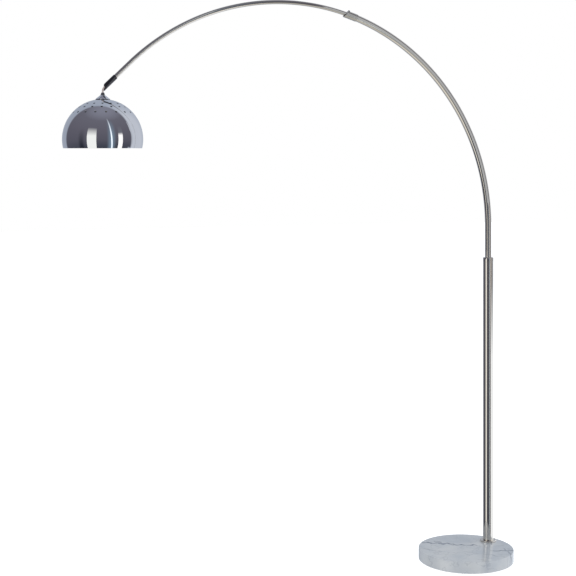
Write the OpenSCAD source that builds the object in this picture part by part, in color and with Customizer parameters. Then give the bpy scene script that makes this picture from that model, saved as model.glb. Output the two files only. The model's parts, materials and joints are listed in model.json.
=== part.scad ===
// Arc floor lamp: marble base, upright pole, telescoping arc arm and a hanging chrome dome shade.
// The origin is the centre of the base's underside, on the floor. +Z is up, and the arm reaches
// towards -X in the upright plane that holds the pole's axis.
// All sizes are in millimetres.

/* [Base] */
// Diameter of the marble slab
base_d = 320; // [260:1:420]
// Thickness of the marble slab
base_h = 38; // [30:1:60]
// Radius of the slab's rounded edges
base_edge_r = 2; // [0.5:0.5:5]
// Margin of the slab round the felt pad under it
pad_margin = 8; // [2:0.5:20]
// Thickness of the felt pad
pad_h = 2; // [1:0.5:4]
// Diameter of the bolt's recess in the slab's underside
recess_d = 46; // [44:1:60]
// Depth of that recess
recess_h = 14; // [13:1:18]

/* [Pole] */
// Distance of the pole's axis from the slab's edge
pole_inset = 42; // [36:1:80]
// Bearing of the pole from the base's centre, from +X towards +Y
pole_bearing = 22.5; // [0:0.5:45]
// Outer diameter of the pole tube
pole_d = 36; // [30:0.5:50]
// Wall of the pole tube
pole_wall = 1.6; // [1:0.1:2.5]
// Height of the pole's top above the slab
pole_h = 979; // [700:1:1300]
// Diameter of the flange at the pole's foot
flange_d = 56; // [54:1:80]
// Thickness of the flange
flange_h = 6; // [4:0.5:10]
// Length of the threaded plug in the pole's foot
plug_h = 30; // [20:1:50]
// Shank diameter of the bolt that holds the pole
bolt_d = 12; // [8:1:14]
// Height of the bolt's head
bolt_head_h = 7.5; // [5:0.5:8]
// Height of the lead's inlet above the slab
inlet_h = 60; // [56:1:120]
// Height of the ferrule that closes the pole's top
ferrule_h = 15; // [10:1:30]
// Length of the ferrule's spigot inside the pole
spigot_h = 18; // [10:1:40]

/* [Arm] */
// Outer diameter of the lower, thick arm tube
lower_d = 22; // [18:0.5:27]
// Wall of the lower arm tube
lower_wall = 1.5; // [1:0.1:1.8]
// Length of the lower arm tube that stands inside the pole
arm_plug_h = 150; // [80:1:300]
// Straight rise of the arm between the pole's top and the start of the arc
arm_rise = 108; // [40:1:200]
// Radius of the arc, at the tubes' centreline
arc_r = 745; // [600:1:900]
// Angle of arc that the lower tube covers
lower_sweep = 72; // [60:1:80]
// Angle of arc at which the upper tube ends and its straight tip starts
arc_end = 134; // [125:1:140]
// Outer diameter of the upper, thin arm tube
upper_d = 14; // [11.5:0.5:17]
// Wall of the upper arm tube
upper_wall = 1; // [0.8:0.1:1.5]
// Angle of the upper tube that sits inside the lower one
overlap_sweep = 16; // [10:1:20]
// Length of the straight tip, from the arc's end to the middle of the mouth
tip_h = 112.5; // [80:0.5:160]
// Wall of the collar at the telescoping joint, over the lower tube
collar_wall = 1.3; // [1.2:0.1:3]
// Angle of arc from the collar's back edge to the lower tube's end
collar_back_sweep = 1.8; // [1.2:0.1:3]
// Angle of arc from the lower tube's end to the middle of the collar's mouth
collar_front_sweep = 1.4; // [1.1:0.1:3]
// Slant of the collar's mouth, from square
collar_slant = 25; // [0:1:30]
// Wall of the sleeve at the arm's tip
sleeve_wall = 1.25; // [1:0.05:3]
// Length of that sleeve
sleeve_h = 50; // [40:1:80]
// Distance of the upper tube's end behind the mouth
tube_setback = 26; // [24:1:34]
// Thickness of the guide ring at the upper tube's inner end, as an angle of arc
guide_sweep = 1.5; // [1:0.1:3]

/* [Lead] */
// Diameter of the lead's jacket
lead_d = 6; // [5:0.5:6]
// Gap between the coiled slack and the pole's bore
slack_gap = 3.4; // [1:0.1:4]
// Length of the coiled slack
slack_h = 150; // [60:1:300]

/* [Shade] */
// Outer diameter of the dome's sphere
dome_d = 250; // [200:1:320]
// Wall of the dome
dome_wall = 0.8; // [0.6:0.1:2]
// Distance of the rim below the sphere's centre
rim_drop = 28; // [10:1:40]
// Diameter of one vent hole
vent_d = 7; // [4:0.5:9]
// Drop from the middle of the arm's mouth to the top of the cord grip
grip_drop = 16; // [16:0.5:30]
// Height of the cord grip above the cap
grip_h = 8; // [5:0.5:20]
// Diameter of the cord grip at its top
grip_d = 9.5; // [9.5:0.5:12]
// Height of the conical cap
cap_h = 12; // [8:0.5:20]
// Diameter of the cap at its foot
cap_d = 45; // [36:1:60]
// Diameter of the cap's flat top
cap_top_d = 15; // [14:0.5:20]
// Wall of the cap
cap_wall = 1.2; // [0.8:0.1:1.5]
// Thread diameter of the hollow nipple
nipple_d = 10; // [10:0.5:11]
// Bore of the nipple
nipple_bore = 7; // [6.5:0.1:7.4]

/* [Lamp holder and bulb] */
// Outer diameter of the lamp holder
holder_d = 39; // [36:0.5:44]
// Wall of the lamp holder
holder_wall = 2.5; // [1.5:0.1:3]
// Height of the lamp holder's top shell
holder_top_h = 20; // [18:1:26]
// Height of the lamp holder's lower shell
holder_low_h = 34; // [32:1:42]
// Thickness of the ceramic block in the lamp holder
block_h = 12; // [8:0.5:14]
// Diameter of the bulb's screw cap
bulb_cap_d = 26.4; // [24:0.1:26.6]
// Diameter of the bulb's glass
bulb_d = 60; // [45:1:66]
// Length of the bulb from contact to crown
bulb_h = 104; // [90:1:106]
// Wall of the bulb's glass
bulb_wall = 1; // [0.6:0.1:1.5]

/* [Clearances] */
// Radial play of a piece that turns or slides in another
run_gap = 0.05; // [0.02:0.01:0.1]
// Radial play of a piece that passes freely through a hole
pass_gap = 0.2; // [0.1:0.05:0.5]
// Gap between a moving piece and its neighbour where they don't bear
free_gap = 0.3; // [0.3:0.1:1]

/* [Hidden] */
$fn = 96;

// Pole axis from the base's centre
pole_x = (base_d / 2 - pole_inset) * cos(pole_bearing);
pole_y = (base_d / 2 - pole_inset) * sin(pole_bearing);

// Heights
slab_top = pad_h + base_h;
flange_top = slab_top + flange_h;
pole_top = slab_top + pole_h;
tube_top = pole_top - ferrule_h;
arm_foot = pole_top - arm_plug_h;
arc_z = pole_top + arm_rise;
recess_top = pad_h + recess_h;
inlet_z = slab_top + inlet_h;

// Diameters that follow from others
pad_d = base_d - 2 * pad_margin;
collar_d = lower_d + 2 * collar_wall;
sleeve_d = upper_d + 2 * sleeve_wall;

// Radii of the bores
pole_bore_r = pole_d / 2 - pole_wall;
lower_bore_r = lower_d / 2 - lower_wall;
upper_bore_r = upper_d / 2 - upper_wall;
lead_r = lead_d / 2;
lead_hole_r = lead_r + pass_gap;

// Grommet in the lead's inlet
inlet_body_r = lead_r + 2;
inlet_flange_r = inlet_body_r + 2.5;
inlet_flange_h = 2;
inlet_inner_h = 3;

// Nylon bush under the arm's foot
bush_floor_h = 8;
bush_grip_h = 22;

// Route of the lead inside the pole
lead_bend_gap = 2.4;
lead_bend_r = pole_bore_r - lead_bend_gap;
slack_d = 2 * (pole_bore_r - slack_gap);
slack_top = arm_foot - bush_floor_h - 10;
slack_foot = slack_top - slack_h;

// Ends of the arm's pieces, as angles of the arc
upper_from = lower_sweep - overlap_sweep;
lead_split = upper_from - 0.5;
collar_from = lower_sweep - collar_back_sweep;
collar_to = lower_sweep + collar_front_sweep;
screw_at = lower_sweep + collar_front_sweep / 2;

// Set screw in the collar
collar_screw_r = 2;
collar_screw_head_r = 3.5;
collar_screw_head_h = 2.5;
collar_screw_key = 3.5;

// Grommet in the arm's tip
tip_grommet_h = 6;

// Fasteners in the recess
washer_h = 2.5;
washer_d = 36;
spring_washer_h = 2.5;
spring_washer_d = 20;
bolt_hex_d = 22;
bolt_reach = 24;
spring_washer_top = recess_top - washer_h;
bolt_seat = spring_washer_top - spring_washer_h;

// Middle of the arm's mouth
mouth_x = pole_x - arc_r + arc_r * cos(arc_end) - tip_h * sin(arc_end);
mouth_z = arc_z + arc_r * sin(arc_end) + tip_h * cos(arc_end);

// The hanging lead's middle line, from the mouth's middle: [outwards from the pole, up].
// It leaves the grommet along the tip, bends over and hangs plumb.
lead_gap = 0.1;
lead_from = tube_setback - tip_grommet_h - lead_gap;
DROP_ROUTE = concat(
    [for (s = [lead_from, 14, 7.6, 1.4]) [-s * sin(arc_end), -s * cos(arc_end)]],
    [[1, -1.5], [2.5, -4], [3.6, -6.5], [4.3, -9], [4.5, -12], [4.5, lead_gap - grip_drop]]
);
drop_end = DROP_ROUTE[len(DROP_ROUTE) - 1];

// The shade hangs on this axis, below this height
hang_x = mouth_x - drop_end[0];
grip_top = mouth_z - grip_drop;
dome_top = grip_top - grip_h - cap_h;
dome_r = dome_d / 2;
dome_z = dome_top - dome_r;
dome_in_r = dome_r - dome_wall;
rim_z = dome_z - rim_drop;

// Vent holes, one row for each: [angle above the sphere's middle, number of holes, turn]
VENT_ROWS = [[62, 14, 0], [53, 16, 8], [42, 18, 4]];

// Stack inside the dome, from the top down
spread_washer_r = 15;
spread_washer_h = 1.5;
lock_nut_hex_d = 16;
lock_nut_h = 4;
spread_top = dome_z + sqrt(pow(dome_in_r, 2) - pow(spread_washer_r, 2));
nut_top = spread_top - spread_washer_h;
holder_z = nut_top - lock_nut_h;
nipple_engage = 12;
nipple_foot = holder_z - nipple_engage;
nipple_head = dome_top + cap_h + grip_h / 2;
holder_neck_d = 20;
holder_neck_h = 8;
holder_seam = holder_z - holder_top_h;
holder_foot = holder_seam - holder_low_h;
holder_in_r = holder_d / 2 - holder_wall;
block_foot = holder_seam - block_h;
shell_wall = 0.6;
shell_h = 21;
shell_r = bulb_cap_d / 2 + free_gap;
contact_drop = 2.5;
contact_h = 0.8;
bulb_top = block_foot - contact_drop;
bulb_button_h = 2;
bulb_button_d = 9;
bulb_cap_h = 23.5;
bulb_cap_foot = bulb_top - bulb_button_h - bulb_cap_h;
bulb_foot = bulb_top - bulb_h;

// ---------- helpers ----------

// Children stand at the pole's foot on the floor plane
module at_pole(z) {
    translate([pole_x, pole_y, z]) children();
}

// Children stand at an angle of the arc: +Z runs along the arm, +X points away from its centre
module at_arc(angle) {
    translate([pole_x - arc_r, pole_y, arc_z])
        rotate([0, -angle, 0])
            translate([arc_r, 0, 0]) children();
}

// Children stand on the shade's axis
module at_shade(z) {
    translate([hang_x, pole_y, z]) children();
}

// Solid bent rod along the arc, from one angle to another
module arc_rod(r, from, to) {
    translate([pole_x - arc_r, pole_y, arc_z])
        rotate([90, 0, 0])
            rotate([0, 0, from])
                rotate_extrude(angle = to - from)
                    translate([arc_r, 0]) circle(r);
}

// Bent tube along the arc
module arc_tube(r_out, r_in, from, to) {
    translate([pole_x - arc_r, pole_y, arc_z])
        rotate([90, 0, 0])
            rotate([0, 0, from])
                rotate_extrude(angle = to - from)
                    translate([arc_r, 0]) difference() {
                        circle(r_out);
                        circle(r_in);
                    }
}

// Children are drawn from the arc's end backwards: +Z runs back along the arm at [arc_r, 0, 0]
module from_arc_end() {
    translate([pole_x - arc_r, pole_y, arc_z]) rotate([0, -arc_end, 0]) mirror([0, 0, 1]) children();
}

// Bent bar from the arc's end back over an angle, with its section as the child
module back_arc(sweep) {
    rotate([90, 0, 0]) rotate_extrude(angle = sweep) translate([arc_r, 0]) children();
}

// Straight tube standing at z = 0
module tube(r_out, r_in, h) {
    linear_extrude(h) difference() {
        circle(r_out);
        circle(r_in);
    }
}

// Children point out of the pole's back at the inlet's height, from the pole's axis
module inlet() {
    at_pole(inlet_z) rotate([-90, 0, 0]) children();
}

// Half outline of a disc with rounded outer corners
module disc_outline(r, h, corner) {
    square([r - corner, h]);
    translate([0, corner]) square([r, h - 2 * corner]);
    translate([r - corner, corner]) circle(corner);
    translate([r - corner, h - corner]) circle(corner);
}

// Hexagonal prism, measured over its corners
module hex(d, h) {
    cylinder(d = d, h = h, $fn = 6);
}

// ---------- stand ----------

// Felt pad on the slab's underside, open under the bolt
module base_pad() {
    color("#3b3a38") difference() {
        cylinder(d = pad_d, h = pad_h);
        at_pole(-1) cylinder(d = recess_d, h = pad_h + 2);
    }
}

// Polished marble disc with a through hole and a recess for the bolt
module base_slab() {
    color("#c9cfd2") difference() {
        translate([0, 0, pad_h]) rotate_extrude() disc_outline(base_d / 2, base_h, base_edge_r);
        at_pole(pad_h - 1) cylinder(d = recess_d, h = recess_h + 1);
        at_pole(0) cylinder(r = bolt_d / 2 + pass_gap, h = slab_top + 1);
    }
}

// Broad washer that spreads the bolt's load on the marble
module recess_washer() {
    color("#a9abad") at_pole(spring_washer_top)
        tube(washer_d / 2, bolt_d / 2 + pass_gap, washer_h);
}

// Split spring washer under the bolt's head
module spring_washer() {
    color("#8f9193") at_pole(bolt_seat) difference() {
        tube(spring_washer_d / 2, bolt_d / 2 + pass_gap, spring_washer_h);
        translate([bolt_d / 2 - 1, -0.8, -1]) cube([spring_washer_d, 1.6, spring_washer_h + 2]);
    }
}

// Hexagon bolt up through the slab and the flange into the pole's plug
module pole_bolt() {
    color("#9b9da0") at_pole(0) {
        translate([0, 0, bolt_seat - bolt_head_h]) hex(bolt_hex_d, bolt_head_h);
        translate([0, 0, bolt_seat])
            cylinder(d = bolt_d, h = flange_top + bolt_reach - bolt_seat);
    }
}

// Round plate between the marble and the pole
module pole_flange() {
    color("#b5b2ad") at_pole(slab_top) difference() {
        rotate_extrude() polygon([
            [0, 0], [flange_d / 2, 0], [flange_d / 2, flange_h - 1.5],
            [flange_d / 2 - 1.5, flange_h], [0, flange_h]
        ]);
        translate([0, 0, -1]) cylinder(r = bolt_d / 2 + pass_gap, h = flange_h + 2);
    }
}

// Threaded plug welded into the pole's foot
module pole_plug() {
    color("#8d8f91") at_pole(flange_top) tube(pole_bore_r, bolt_d / 2, plug_h);
}

// Upright tube, drilled at the back for the lead's inlet
module pole_tube() {
    color("#b9b5b0") difference() {
        at_pole(flange_top) tube(pole_d / 2, pole_bore_r, tube_top - flange_top);
        inlet() cylinder(r = inlet_body_r, h = pole_d);
    }
}

// Rubber grommet that lines the inlet
module inlet_grommet() {
    color("#1d1d1e") difference() {
        union() {
            inlet() translate([0, 0, pole_bore_r - inlet_inner_h])
                cylinder(r = inlet_body_r, h = pole_wall + inlet_inner_h + inlet_flange_h);
            difference() {
                inlet() translate([0, 0, pole_bore_r - 1])
                    cylinder(r = inlet_flange_r, h = pole_wall + 1 + inlet_flange_h);
                at_pole(inlet_z - pole_d) cylinder(d = pole_d, h = 2 * pole_d);
            }
        }
        inlet() cylinder(r = lead_hole_r, h = pole_d);
    }
}

// Nylon bush in the pole that seats and steadies the arm's foot
module foot_bush() {
    color("#d9d6cd") at_pole(arm_foot - bush_floor_h) difference() {
        cylinder(r = pole_bore_r, h = bush_floor_h + bush_grip_h);
        translate([0, 0, bush_floor_h]) cylinder(r = lower_d / 2 + run_gap, h = bush_grip_h + 1);
        translate([0, 0, -1]) cylinder(r = lead_r + 3, h = bush_floor_h + 2);
    }
}

// Turned ferrule in the pole's top: the arm turns in its bore
module pole_ferrule() {
    color("#c2beb9") at_pole(tube_top) difference() {
        rotate_extrude() polygon([
            [0, -spigot_h], [pole_bore_r, -spigot_h], [pole_bore_r, 0],
            [pole_d / 2 + 0.3, 0], [pole_d / 2 + 0.3, ferrule_h - 1.5],
            [pole_d / 2 - 1.2, ferrule_h], [0, ferrule_h]
        ]);
        translate([0, 0, -spigot_h - 1])
            cylinder(r = lower_d / 2 + run_gap, h = spigot_h + ferrule_h + 2);
    }
}

// Lead from the inlet to the pole's axis and up to the coiled slack, and on to the arm's foot
module lead_pole() {
    color("#e4ddd6") {
        inlet() translate([0, 0, lead_bend_r])
            cylinder(r = lead_r, h = pole_d / 2 + inlet_flange_h - lead_bend_r);
        at_pole(inlet_z + lead_bend_r) rotate([0, 90, 0])
            translate([0, lead_bend_r, 0]) rotate([0, 0, -90])
                rotate_extrude(angle = 90) translate([lead_bend_r, 0]) circle(lead_r);
        at_pole(inlet_z + lead_bend_r)
            cylinder(r = lead_r, h = slack_foot - inlet_z - lead_bend_r);
        at_pole(slack_top) cylinder(r = lead_r, h = arm_foot - slack_top);
    }
}

// Coiled slack of the lead, as the outside of its turns
module lead_coil() {
    color("#e4ddd6") at_pole(slack_foot)
        rotate_extrude() disc_outline(slack_d / 2, slack_h, lead_r);
}

// ---------- lower arm ----------

// Thick tube: a straight foot in the pole, a straight rise and the first part of the arc
module lower_tube() {
    color("#b0aca8") union() {
        at_pole(arm_foot) tube(lower_d / 2, lower_bore_r, arc_z - arm_foot);
        arc_tube(lower_d / 2, lower_bore_r, 0, lower_sweep);
    }
}

// Collar over the lower tube's end, which guides the upper tube
module joint_collar() {
    color("#8c8a87") difference() {
        arc_rod(collar_d / 2, collar_from, collar_to + 0.6);
        arc_rod(lower_d / 2, collar_from - 1, lower_sweep);
        arc_rod(upper_d / 2 + run_gap, lower_sweep - 1, collar_to + 2);
        at_arc(collar_to) rotate([0, collar_slant, 0])
            translate([-collar_d, -collar_d, 0]) cube(2 * collar_d);
        at_arc(screw_at) rotate([0, 90, 0]) cylinder(r = collar_screw_r, h = collar_d);
    }
}

// Set screw on the collar's upper side, bearing on the upper tube
module collar_screw() {
    color("#777573") at_arc(screw_at) rotate([0, 90, 0]) difference() {
        union() {
            translate([0, 0, upper_d / 2 + run_gap])
                cylinder(r = collar_screw_r, h = (collar_d - upper_d) / 2 - run_gap + 1);
            translate([0, 0, collar_d / 2])
                cylinder(r = collar_screw_head_r, h = collar_screw_head_h);
        }
        translate([0, 0, collar_d / 2 + 1]) hex(collar_screw_key, collar_screw_head_h);
    }
}

// Lead through the lower tube, with the play that the arm's travel takes up
module lead_slack() {
    color("#e4ddd6") union() {
        at_pole(arm_foot) cylinder(r = lead_r, h = arc_z - arm_foot);
        arc_rod(lead_r, 0, lead_split);
    }
}

// ---------- upper arm ----------

// Thin tube: the rest of the arc and a straight tip
module upper_tube() {
    tip_part = tip_h - tube_setback;
    color("#a9a5a2") from_arc_end() {
        back_arc(arc_end - upper_from) difference() {
            circle(upper_d / 2);
            circle(upper_bore_r);
        }
        translate([arc_r, 0, -tip_part]) tube(upper_d / 2, upper_bore_r, tip_part);
    }
}

// Nylon ring on the thin tube's inner end, which slides in the thick tube
module guide_ring() {
    color("#d9d6cd")
        arc_tube(lower_bore_r - run_gap, upper_d / 2, upper_from, upper_from + guide_sweep);
}

// Dark sleeve over the tip, cut plumb at its mouth
module tip_sleeve() {
    color("#2b2b2d") difference() {
        at_arc(arc_end) translate([0, 0, tip_h - sleeve_h])
            tube(sleeve_d / 2, upper_d / 2, sleeve_h + sleeve_d);
        translate([mouth_x - 4 * sleeve_d, pole_y - 2 * sleeve_d, mouth_z - 4 * sleeve_d])
            cube([4 * sleeve_d, 4 * sleeve_d, 8 * sleeve_d]);
    }
}

// Rubber grommet that carries the lead out of the thin tube
module tip_grommet() {
    color("#1d1d1e") at_arc(arc_end) translate([0, 0, tip_h - tube_setback])
        tube(upper_d / 2, lead_hole_r, tip_grommet_h);
}

// Lead through the thin tube, up to the grommet's outer face
module lead_arm() {
    tip_part = tip_h - tube_setback + tip_grommet_h;
    color("#e4ddd6") from_arc_end() {
        back_arc(arc_end - lead_split) circle(lead_r);
        translate([arc_r, 0, -tip_part]) cylinder(r = lead_r, h = tip_part);
    }
}

// ---------- hanging lead ----------

// Direction of the route at one of its points
function route_step(p, i) =
    let (a = p[max(i - 1, 0)], b = p[min(i + 1, len(p) - 1)]) (b - a) / norm(b - a);

// Ring of points round the route's point i, square to the route
function route_ring(p, i, r, sides) =
    let (t = route_step(p, i))
    [for (k = [0 : sides - 1])
        let (a = 360 * k / sides)
        [
            -(p[i][0] - t[1] * r * cos(a)),
            r * sin(a),
            p[i][1] + t[0] * r * cos(a)
        ]
    ];

// Closed tube swept along a route
module swept_tube(p, r, sides) {
    rings = len(p);
    points = [for (i = [0 : rings - 1]) each route_ring(p, i, r, sides)];
    walls = [
        for (i = [0 : rings - 2], k = [0 : sides - 1])
            let (n = (k + 1) % sides)
            [i * sides + k, i * sides + n, (i + 1) * sides + n, (i + 1) * sides + k]
    ];
    first = [for (k = [sides - 1 : -1 : 0]) k];
    last = [for (k = [0 : sides - 1]) (rings - 1) * sides + k];
    polyhedron(points = points, faces = concat(walls, [first, last]), convexity = 4);
}

// Free stretch of lead between the tip's grommet and the cord grip
module lead_drop() {
    color("#e0d6d2") translate([mouth_x, pole_y, mouth_z]) swept_tube(DROP_ROUTE, lead_r, 12);
}

// Lead from the cord grip's top down into the lamp holder
module lead_tail() {
    color("#e0d6d2") at_shade(nipple_foot) cylinder(r = lead_r, h = grip_top - nipple_foot);
}

// ---------- shade ----------

// Tapered grip screwed on the nipple, which clamps the lead and the cap
module cord_grip() {
    color("#4d4c50") at_shade(grip_top - grip_h) difference() {
        cylinder(d1 = cap_top_d - 1, d2 = grip_d, h = grip_h);
        translate([0, 0, -1]) cylinder(r = lead_hole_r, h = grip_h + 2);
        translate([0, 0, -1]) cylinder(d = nipple_d, h = grip_h / 2 + 1);
    }
}

// Spun conical cap on the dome's crown
cap_lift = -1;
module shade_cap() {
    color("#c4c6cb") at_shade(dome_top) difference() {
        rotate_extrude() polygon([
            [0, cap_h], [cap_top_d / 2, cap_h], [cap_d / 2, cap_lift + 1],
            [cap_d / 2, cap_lift], [cap_d / 2 - cap_wall, cap_lift],
            [cap_d / 2 - cap_wall, cap_lift + 1],
            [cap_top_d / 2 - cap_wall / 2, cap_h - cap_wall], [0, cap_h - cap_wall]
        ]);
        cylinder(r = nipple_d / 2 + pass_gap, h = cap_h + 1);
    }
}

// Black gasket between the cap's edge and the dome
gasket_w = 3;
module cap_gasket() {
    from = cap_d / 2 - gasket_w;
    steps = 6;
    seat = [for (i = [0 : steps]) let (x = from + gasket_w * i / steps)
        [x, sqrt(pow(dome_r, 2) - pow(x, 2)) + 0.02]];
    roof = dome_r + cap_lift;
    color("#19191b") at_shade(dome_z)
        rotate_extrude() polygon(concat(seat, [[cap_d / 2, roof], [from, roof]]));
}

// Mirror-finished dome with rows of vent holes round its crown
module shade_dome() {
    color("#9ea3ad") at_shade(dome_z) difference() {
        sphere(dome_r);
        sphere(dome_in_r);
        translate([-dome_r - 1, -dome_r - 1, -dome_r - 1])
            cube([dome_d + 2, dome_d + 2, dome_r + 1 - rim_drop]);
        cylinder(r = nipple_d / 2 + pass_gap, h = dome_d);
        for (row = VENT_ROWS, i = [0 : row[1] - 1])
            rotate([0, 90 - row[0], row[2] + 360 * i / row[1]])
                translate([0, 0, dome_in_r - 3]) cylinder(d = vent_d, h = dome_wall + 6);
    }
}

// Hollow threaded nipple through the cap and the dome's crown
module nipple() {
    color("#b98f3f") at_shade(nipple_foot)
        tube(nipple_d / 2, nipple_bore / 2, nipple_head - nipple_foot);
}

// Washer that bears on the inside of the crown
module spread_washer() {
    color("#a9abad") at_shade(nut_top)
        tube(spread_washer_r, nipple_d / 2 + pass_gap, spread_washer_h);
}

// Hexagon nut that clamps the crown
module lock_nut() {
    color("#b98f3f") at_shade(holder_z) difference() {
        hex(lock_nut_hex_d, lock_nut_h);
        translate([0, 0, -1]) cylinder(d = nipple_d, h = lock_nut_h + 2);
    }
}

// Top shell of the lamp holder, screwed on the nipple
module holder_top() {
    r = holder_d / 2;
    neck_r = holder_neck_d / 2;
    color("#e8e6df") at_shade(holder_seam) difference() {
        rotate_extrude() polygon([
            [0, holder_top_h - holder_neck_h - holder_wall],
            [neck_r - holder_wall, holder_top_h - holder_neck_h - holder_wall],
            [r - holder_wall, 2], [r - holder_wall, 0], [r, 0], [r, 3],
            [neck_r + 1, holder_top_h - holder_neck_h], [neck_r, holder_top_h - holder_neck_h + 1],
            [neck_r, holder_top_h], [0, holder_top_h]
        ]);
        cylinder(d = nipple_d, h = holder_top_h + 1);
    }
}

// Lower shell of the lamp holder
module holder_shell() {
    color("#e8e6df") at_shade(holder_foot) tube(holder_d / 2, holder_in_r, holder_low_h);
}

// Ceramic block that carries the contacts
module holder_block() {
    color("#efece4") at_shade(block_foot) difference() {
        cylinder(r = holder_in_r, h = block_h);
        for (x = [-8, 8]) translate([x, 0, block_h - 6]) cylinder(r = 2.5, h = 7);
    }
}

// Threaded brass shell that takes the bulb's cap
module screw_shell() {
    color("#c8a24a") at_shade(block_foot - shell_h) tube(shell_r + shell_wall, shell_r, shell_h);
}

// Sprung strip that touches the bulb's end
module centre_contact() {
    leg_h = contact_drop - contact_h;
    color("#c8a24a") at_shade(bulb_top) {
        translate([-7, -2.5, 0]) cube([14, 5, contact_h]);
        for (x = [-7, 6.2]) translate([x, -2.5, contact_h]) cube([0.8, 5, leg_h]);
    }
}

// Screw cap of the bulb
module bulb_cap() {
    color("#c3c4c6") at_shade(bulb_cap_foot) {
        cylinder(d = bulb_cap_d, h = bulb_cap_h - 4);
        translate([0, 0, bulb_cap_h - 4]) cylinder(d1 = bulb_cap_d, d2 = 14, h = 4);
    }
}

// Contact button at the bulb's end
module bulb_contact() {
    color("#d0d0cc") at_shade(bulb_top - bulb_button_h) cylinder(d = bulb_button_d, h = bulb_button_h);
}

// Solid outline of a bulb: a sphere, and a neck that narrows from it up to a height
module bulb_shape(r, neck_r, top) {
    centre = bulb_foot + bulb_d / 2;
    spread = 40;
    translate([0, 0, centre]) sphere(r);
    translate([0, 0, centre + r * sin(spread)])
        cylinder(r1 = r * cos(spread), r2 = neck_r, h = top - centre - r * sin(spread));
}

// Frosted glass of the bulb, open where its neck meets the cap
module bulb_glass() {
    neck_r = bulb_cap_d / 2;
    color("#f4f1e8") at_shade(0) difference() {
        bulb_shape(bulb_d / 2, neck_r, bulb_cap_foot);
        bulb_shape(bulb_d / 2 - bulb_wall, neck_r - bulb_wall, bulb_cap_foot + 1);
    }
}

base_pad();
base_slab();
recess_washer();
spring_washer();
pole_bolt();
pole_flange();
pole_plug();
pole_tube();
inlet_grommet();
foot_bush();
pole_ferrule();
lead_pole();
lead_coil();
lower_tube();
joint_collar();
collar_screw();
lead_slack();
upper_tube();
guide_ring();
tip_sleeve();
tip_grommet();
lead_arm();
lead_drop();
lead_tail();
cord_grip();
shade_cap();
cap_gasket();
shade_dome();
nipple();
spread_washer();
lock_nut();
holder_top();
holder_shell();
holder_block();
screw_shell();
centre_contact();
bulb_cap();
bulb_contact();
bulb_glass();
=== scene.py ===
"""Arc floor lamp: the pieces that show, their finishes, a plain studio and the camera.

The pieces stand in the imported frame: metres, +Z up, the arm reaching towards -X. Sizes inside the
classes are in millimetres, and MM turns them to metres where a mesh is made.
"""

import json
import logging
import math
from dataclasses import dataclass
from enum import Enum
from typing import Any, Callable, Sequence

import bmesh
import bpy
from mathutils import Matrix, Vector

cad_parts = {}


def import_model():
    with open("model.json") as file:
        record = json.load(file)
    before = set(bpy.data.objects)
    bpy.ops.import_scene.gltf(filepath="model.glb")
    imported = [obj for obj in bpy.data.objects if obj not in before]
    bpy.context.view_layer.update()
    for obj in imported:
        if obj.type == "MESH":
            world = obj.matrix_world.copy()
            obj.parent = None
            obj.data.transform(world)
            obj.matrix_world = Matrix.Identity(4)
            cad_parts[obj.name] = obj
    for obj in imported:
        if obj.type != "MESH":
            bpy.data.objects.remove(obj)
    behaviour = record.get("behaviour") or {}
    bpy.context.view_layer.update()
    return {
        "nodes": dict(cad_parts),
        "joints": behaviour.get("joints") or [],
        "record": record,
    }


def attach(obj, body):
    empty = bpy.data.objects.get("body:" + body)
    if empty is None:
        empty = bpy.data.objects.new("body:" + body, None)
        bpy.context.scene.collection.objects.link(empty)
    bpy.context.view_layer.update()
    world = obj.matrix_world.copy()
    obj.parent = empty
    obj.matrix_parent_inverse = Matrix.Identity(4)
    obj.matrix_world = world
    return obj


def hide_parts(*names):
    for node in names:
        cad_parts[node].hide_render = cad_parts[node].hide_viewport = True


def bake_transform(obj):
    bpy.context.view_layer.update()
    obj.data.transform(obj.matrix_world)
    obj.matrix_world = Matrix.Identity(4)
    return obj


LOG = logging.getLogger("arc_lamp")
MM = 0.001
TURN = 2 * math.pi
MATH = "ShaderNodeMath"
# Middle of the dome's sphere, in metres: the chrome tells its two faces apart by their distance from it,
# to darken the inner one with painted shade, and the light panels are placed by the bearings between
# which it sees them.
DOME_MIDDLE = (-1.238928, 0.045157, 1.423759)

Outline = list[tuple[float, float]]
Place = Callable[[float, float, float], Vector]


class Body(Enum):
    """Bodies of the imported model."""

    STAND = "stand"
    LOWER = "arm_lower"
    UPPER = "arm_upper"
    DROP = "drop"
    TAIL = "tail"
    SHADE = "shade"


# ---------- nodes ----------


def linear(code: str) -> tuple[float, float, float, float]:
    """Turns an sRGB colour into the linear values that shaders take.

    Args:
        code: The colour, as "#rrggbb".

    Returns:
        Linear red, green and blue, and an alpha of 1.
    """
    values = [int(code[i : i + 2], 16) / 255 for i in (1, 3, 5)]
    red, green, blue = [
        v / 12.92 if v <= 0.04045 else ((v + 0.055) / 1.055) ** 2.4 for v in values
    ]
    return (red, green, blue, 1.0)


def add(
    tree: bpy.types.NodeTree,
    kind: str,
    feeds: dict[Any, Any] | tuple[Any, ...] = (),
    **settings: Any,
) -> bpy.types.Node:
    """Adds a node with its settings and links.

    Args:
        tree: The tree that gets the node.
        kind: The node's type.
        feeds: The socket or the value that each input gets: a dict by name or number, or a tuple
            for the first inputs in their order.
        settings: The node's own settings.

    Returns:
        The new node.
    """
    node = tree.nodes.new(kind)
    for name, value in settings.items():
        setattr(node, name, value)
    for key, value in feeds.items() if isinstance(feeds, dict) else enumerate(feeds):
        if isinstance(value, bpy.types.NodeSocket):
            tree.links.new(value, node.inputs[key])
        else:
            node.inputs[key].default_value = value
    return node


# ---------- finishes ----------


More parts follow.
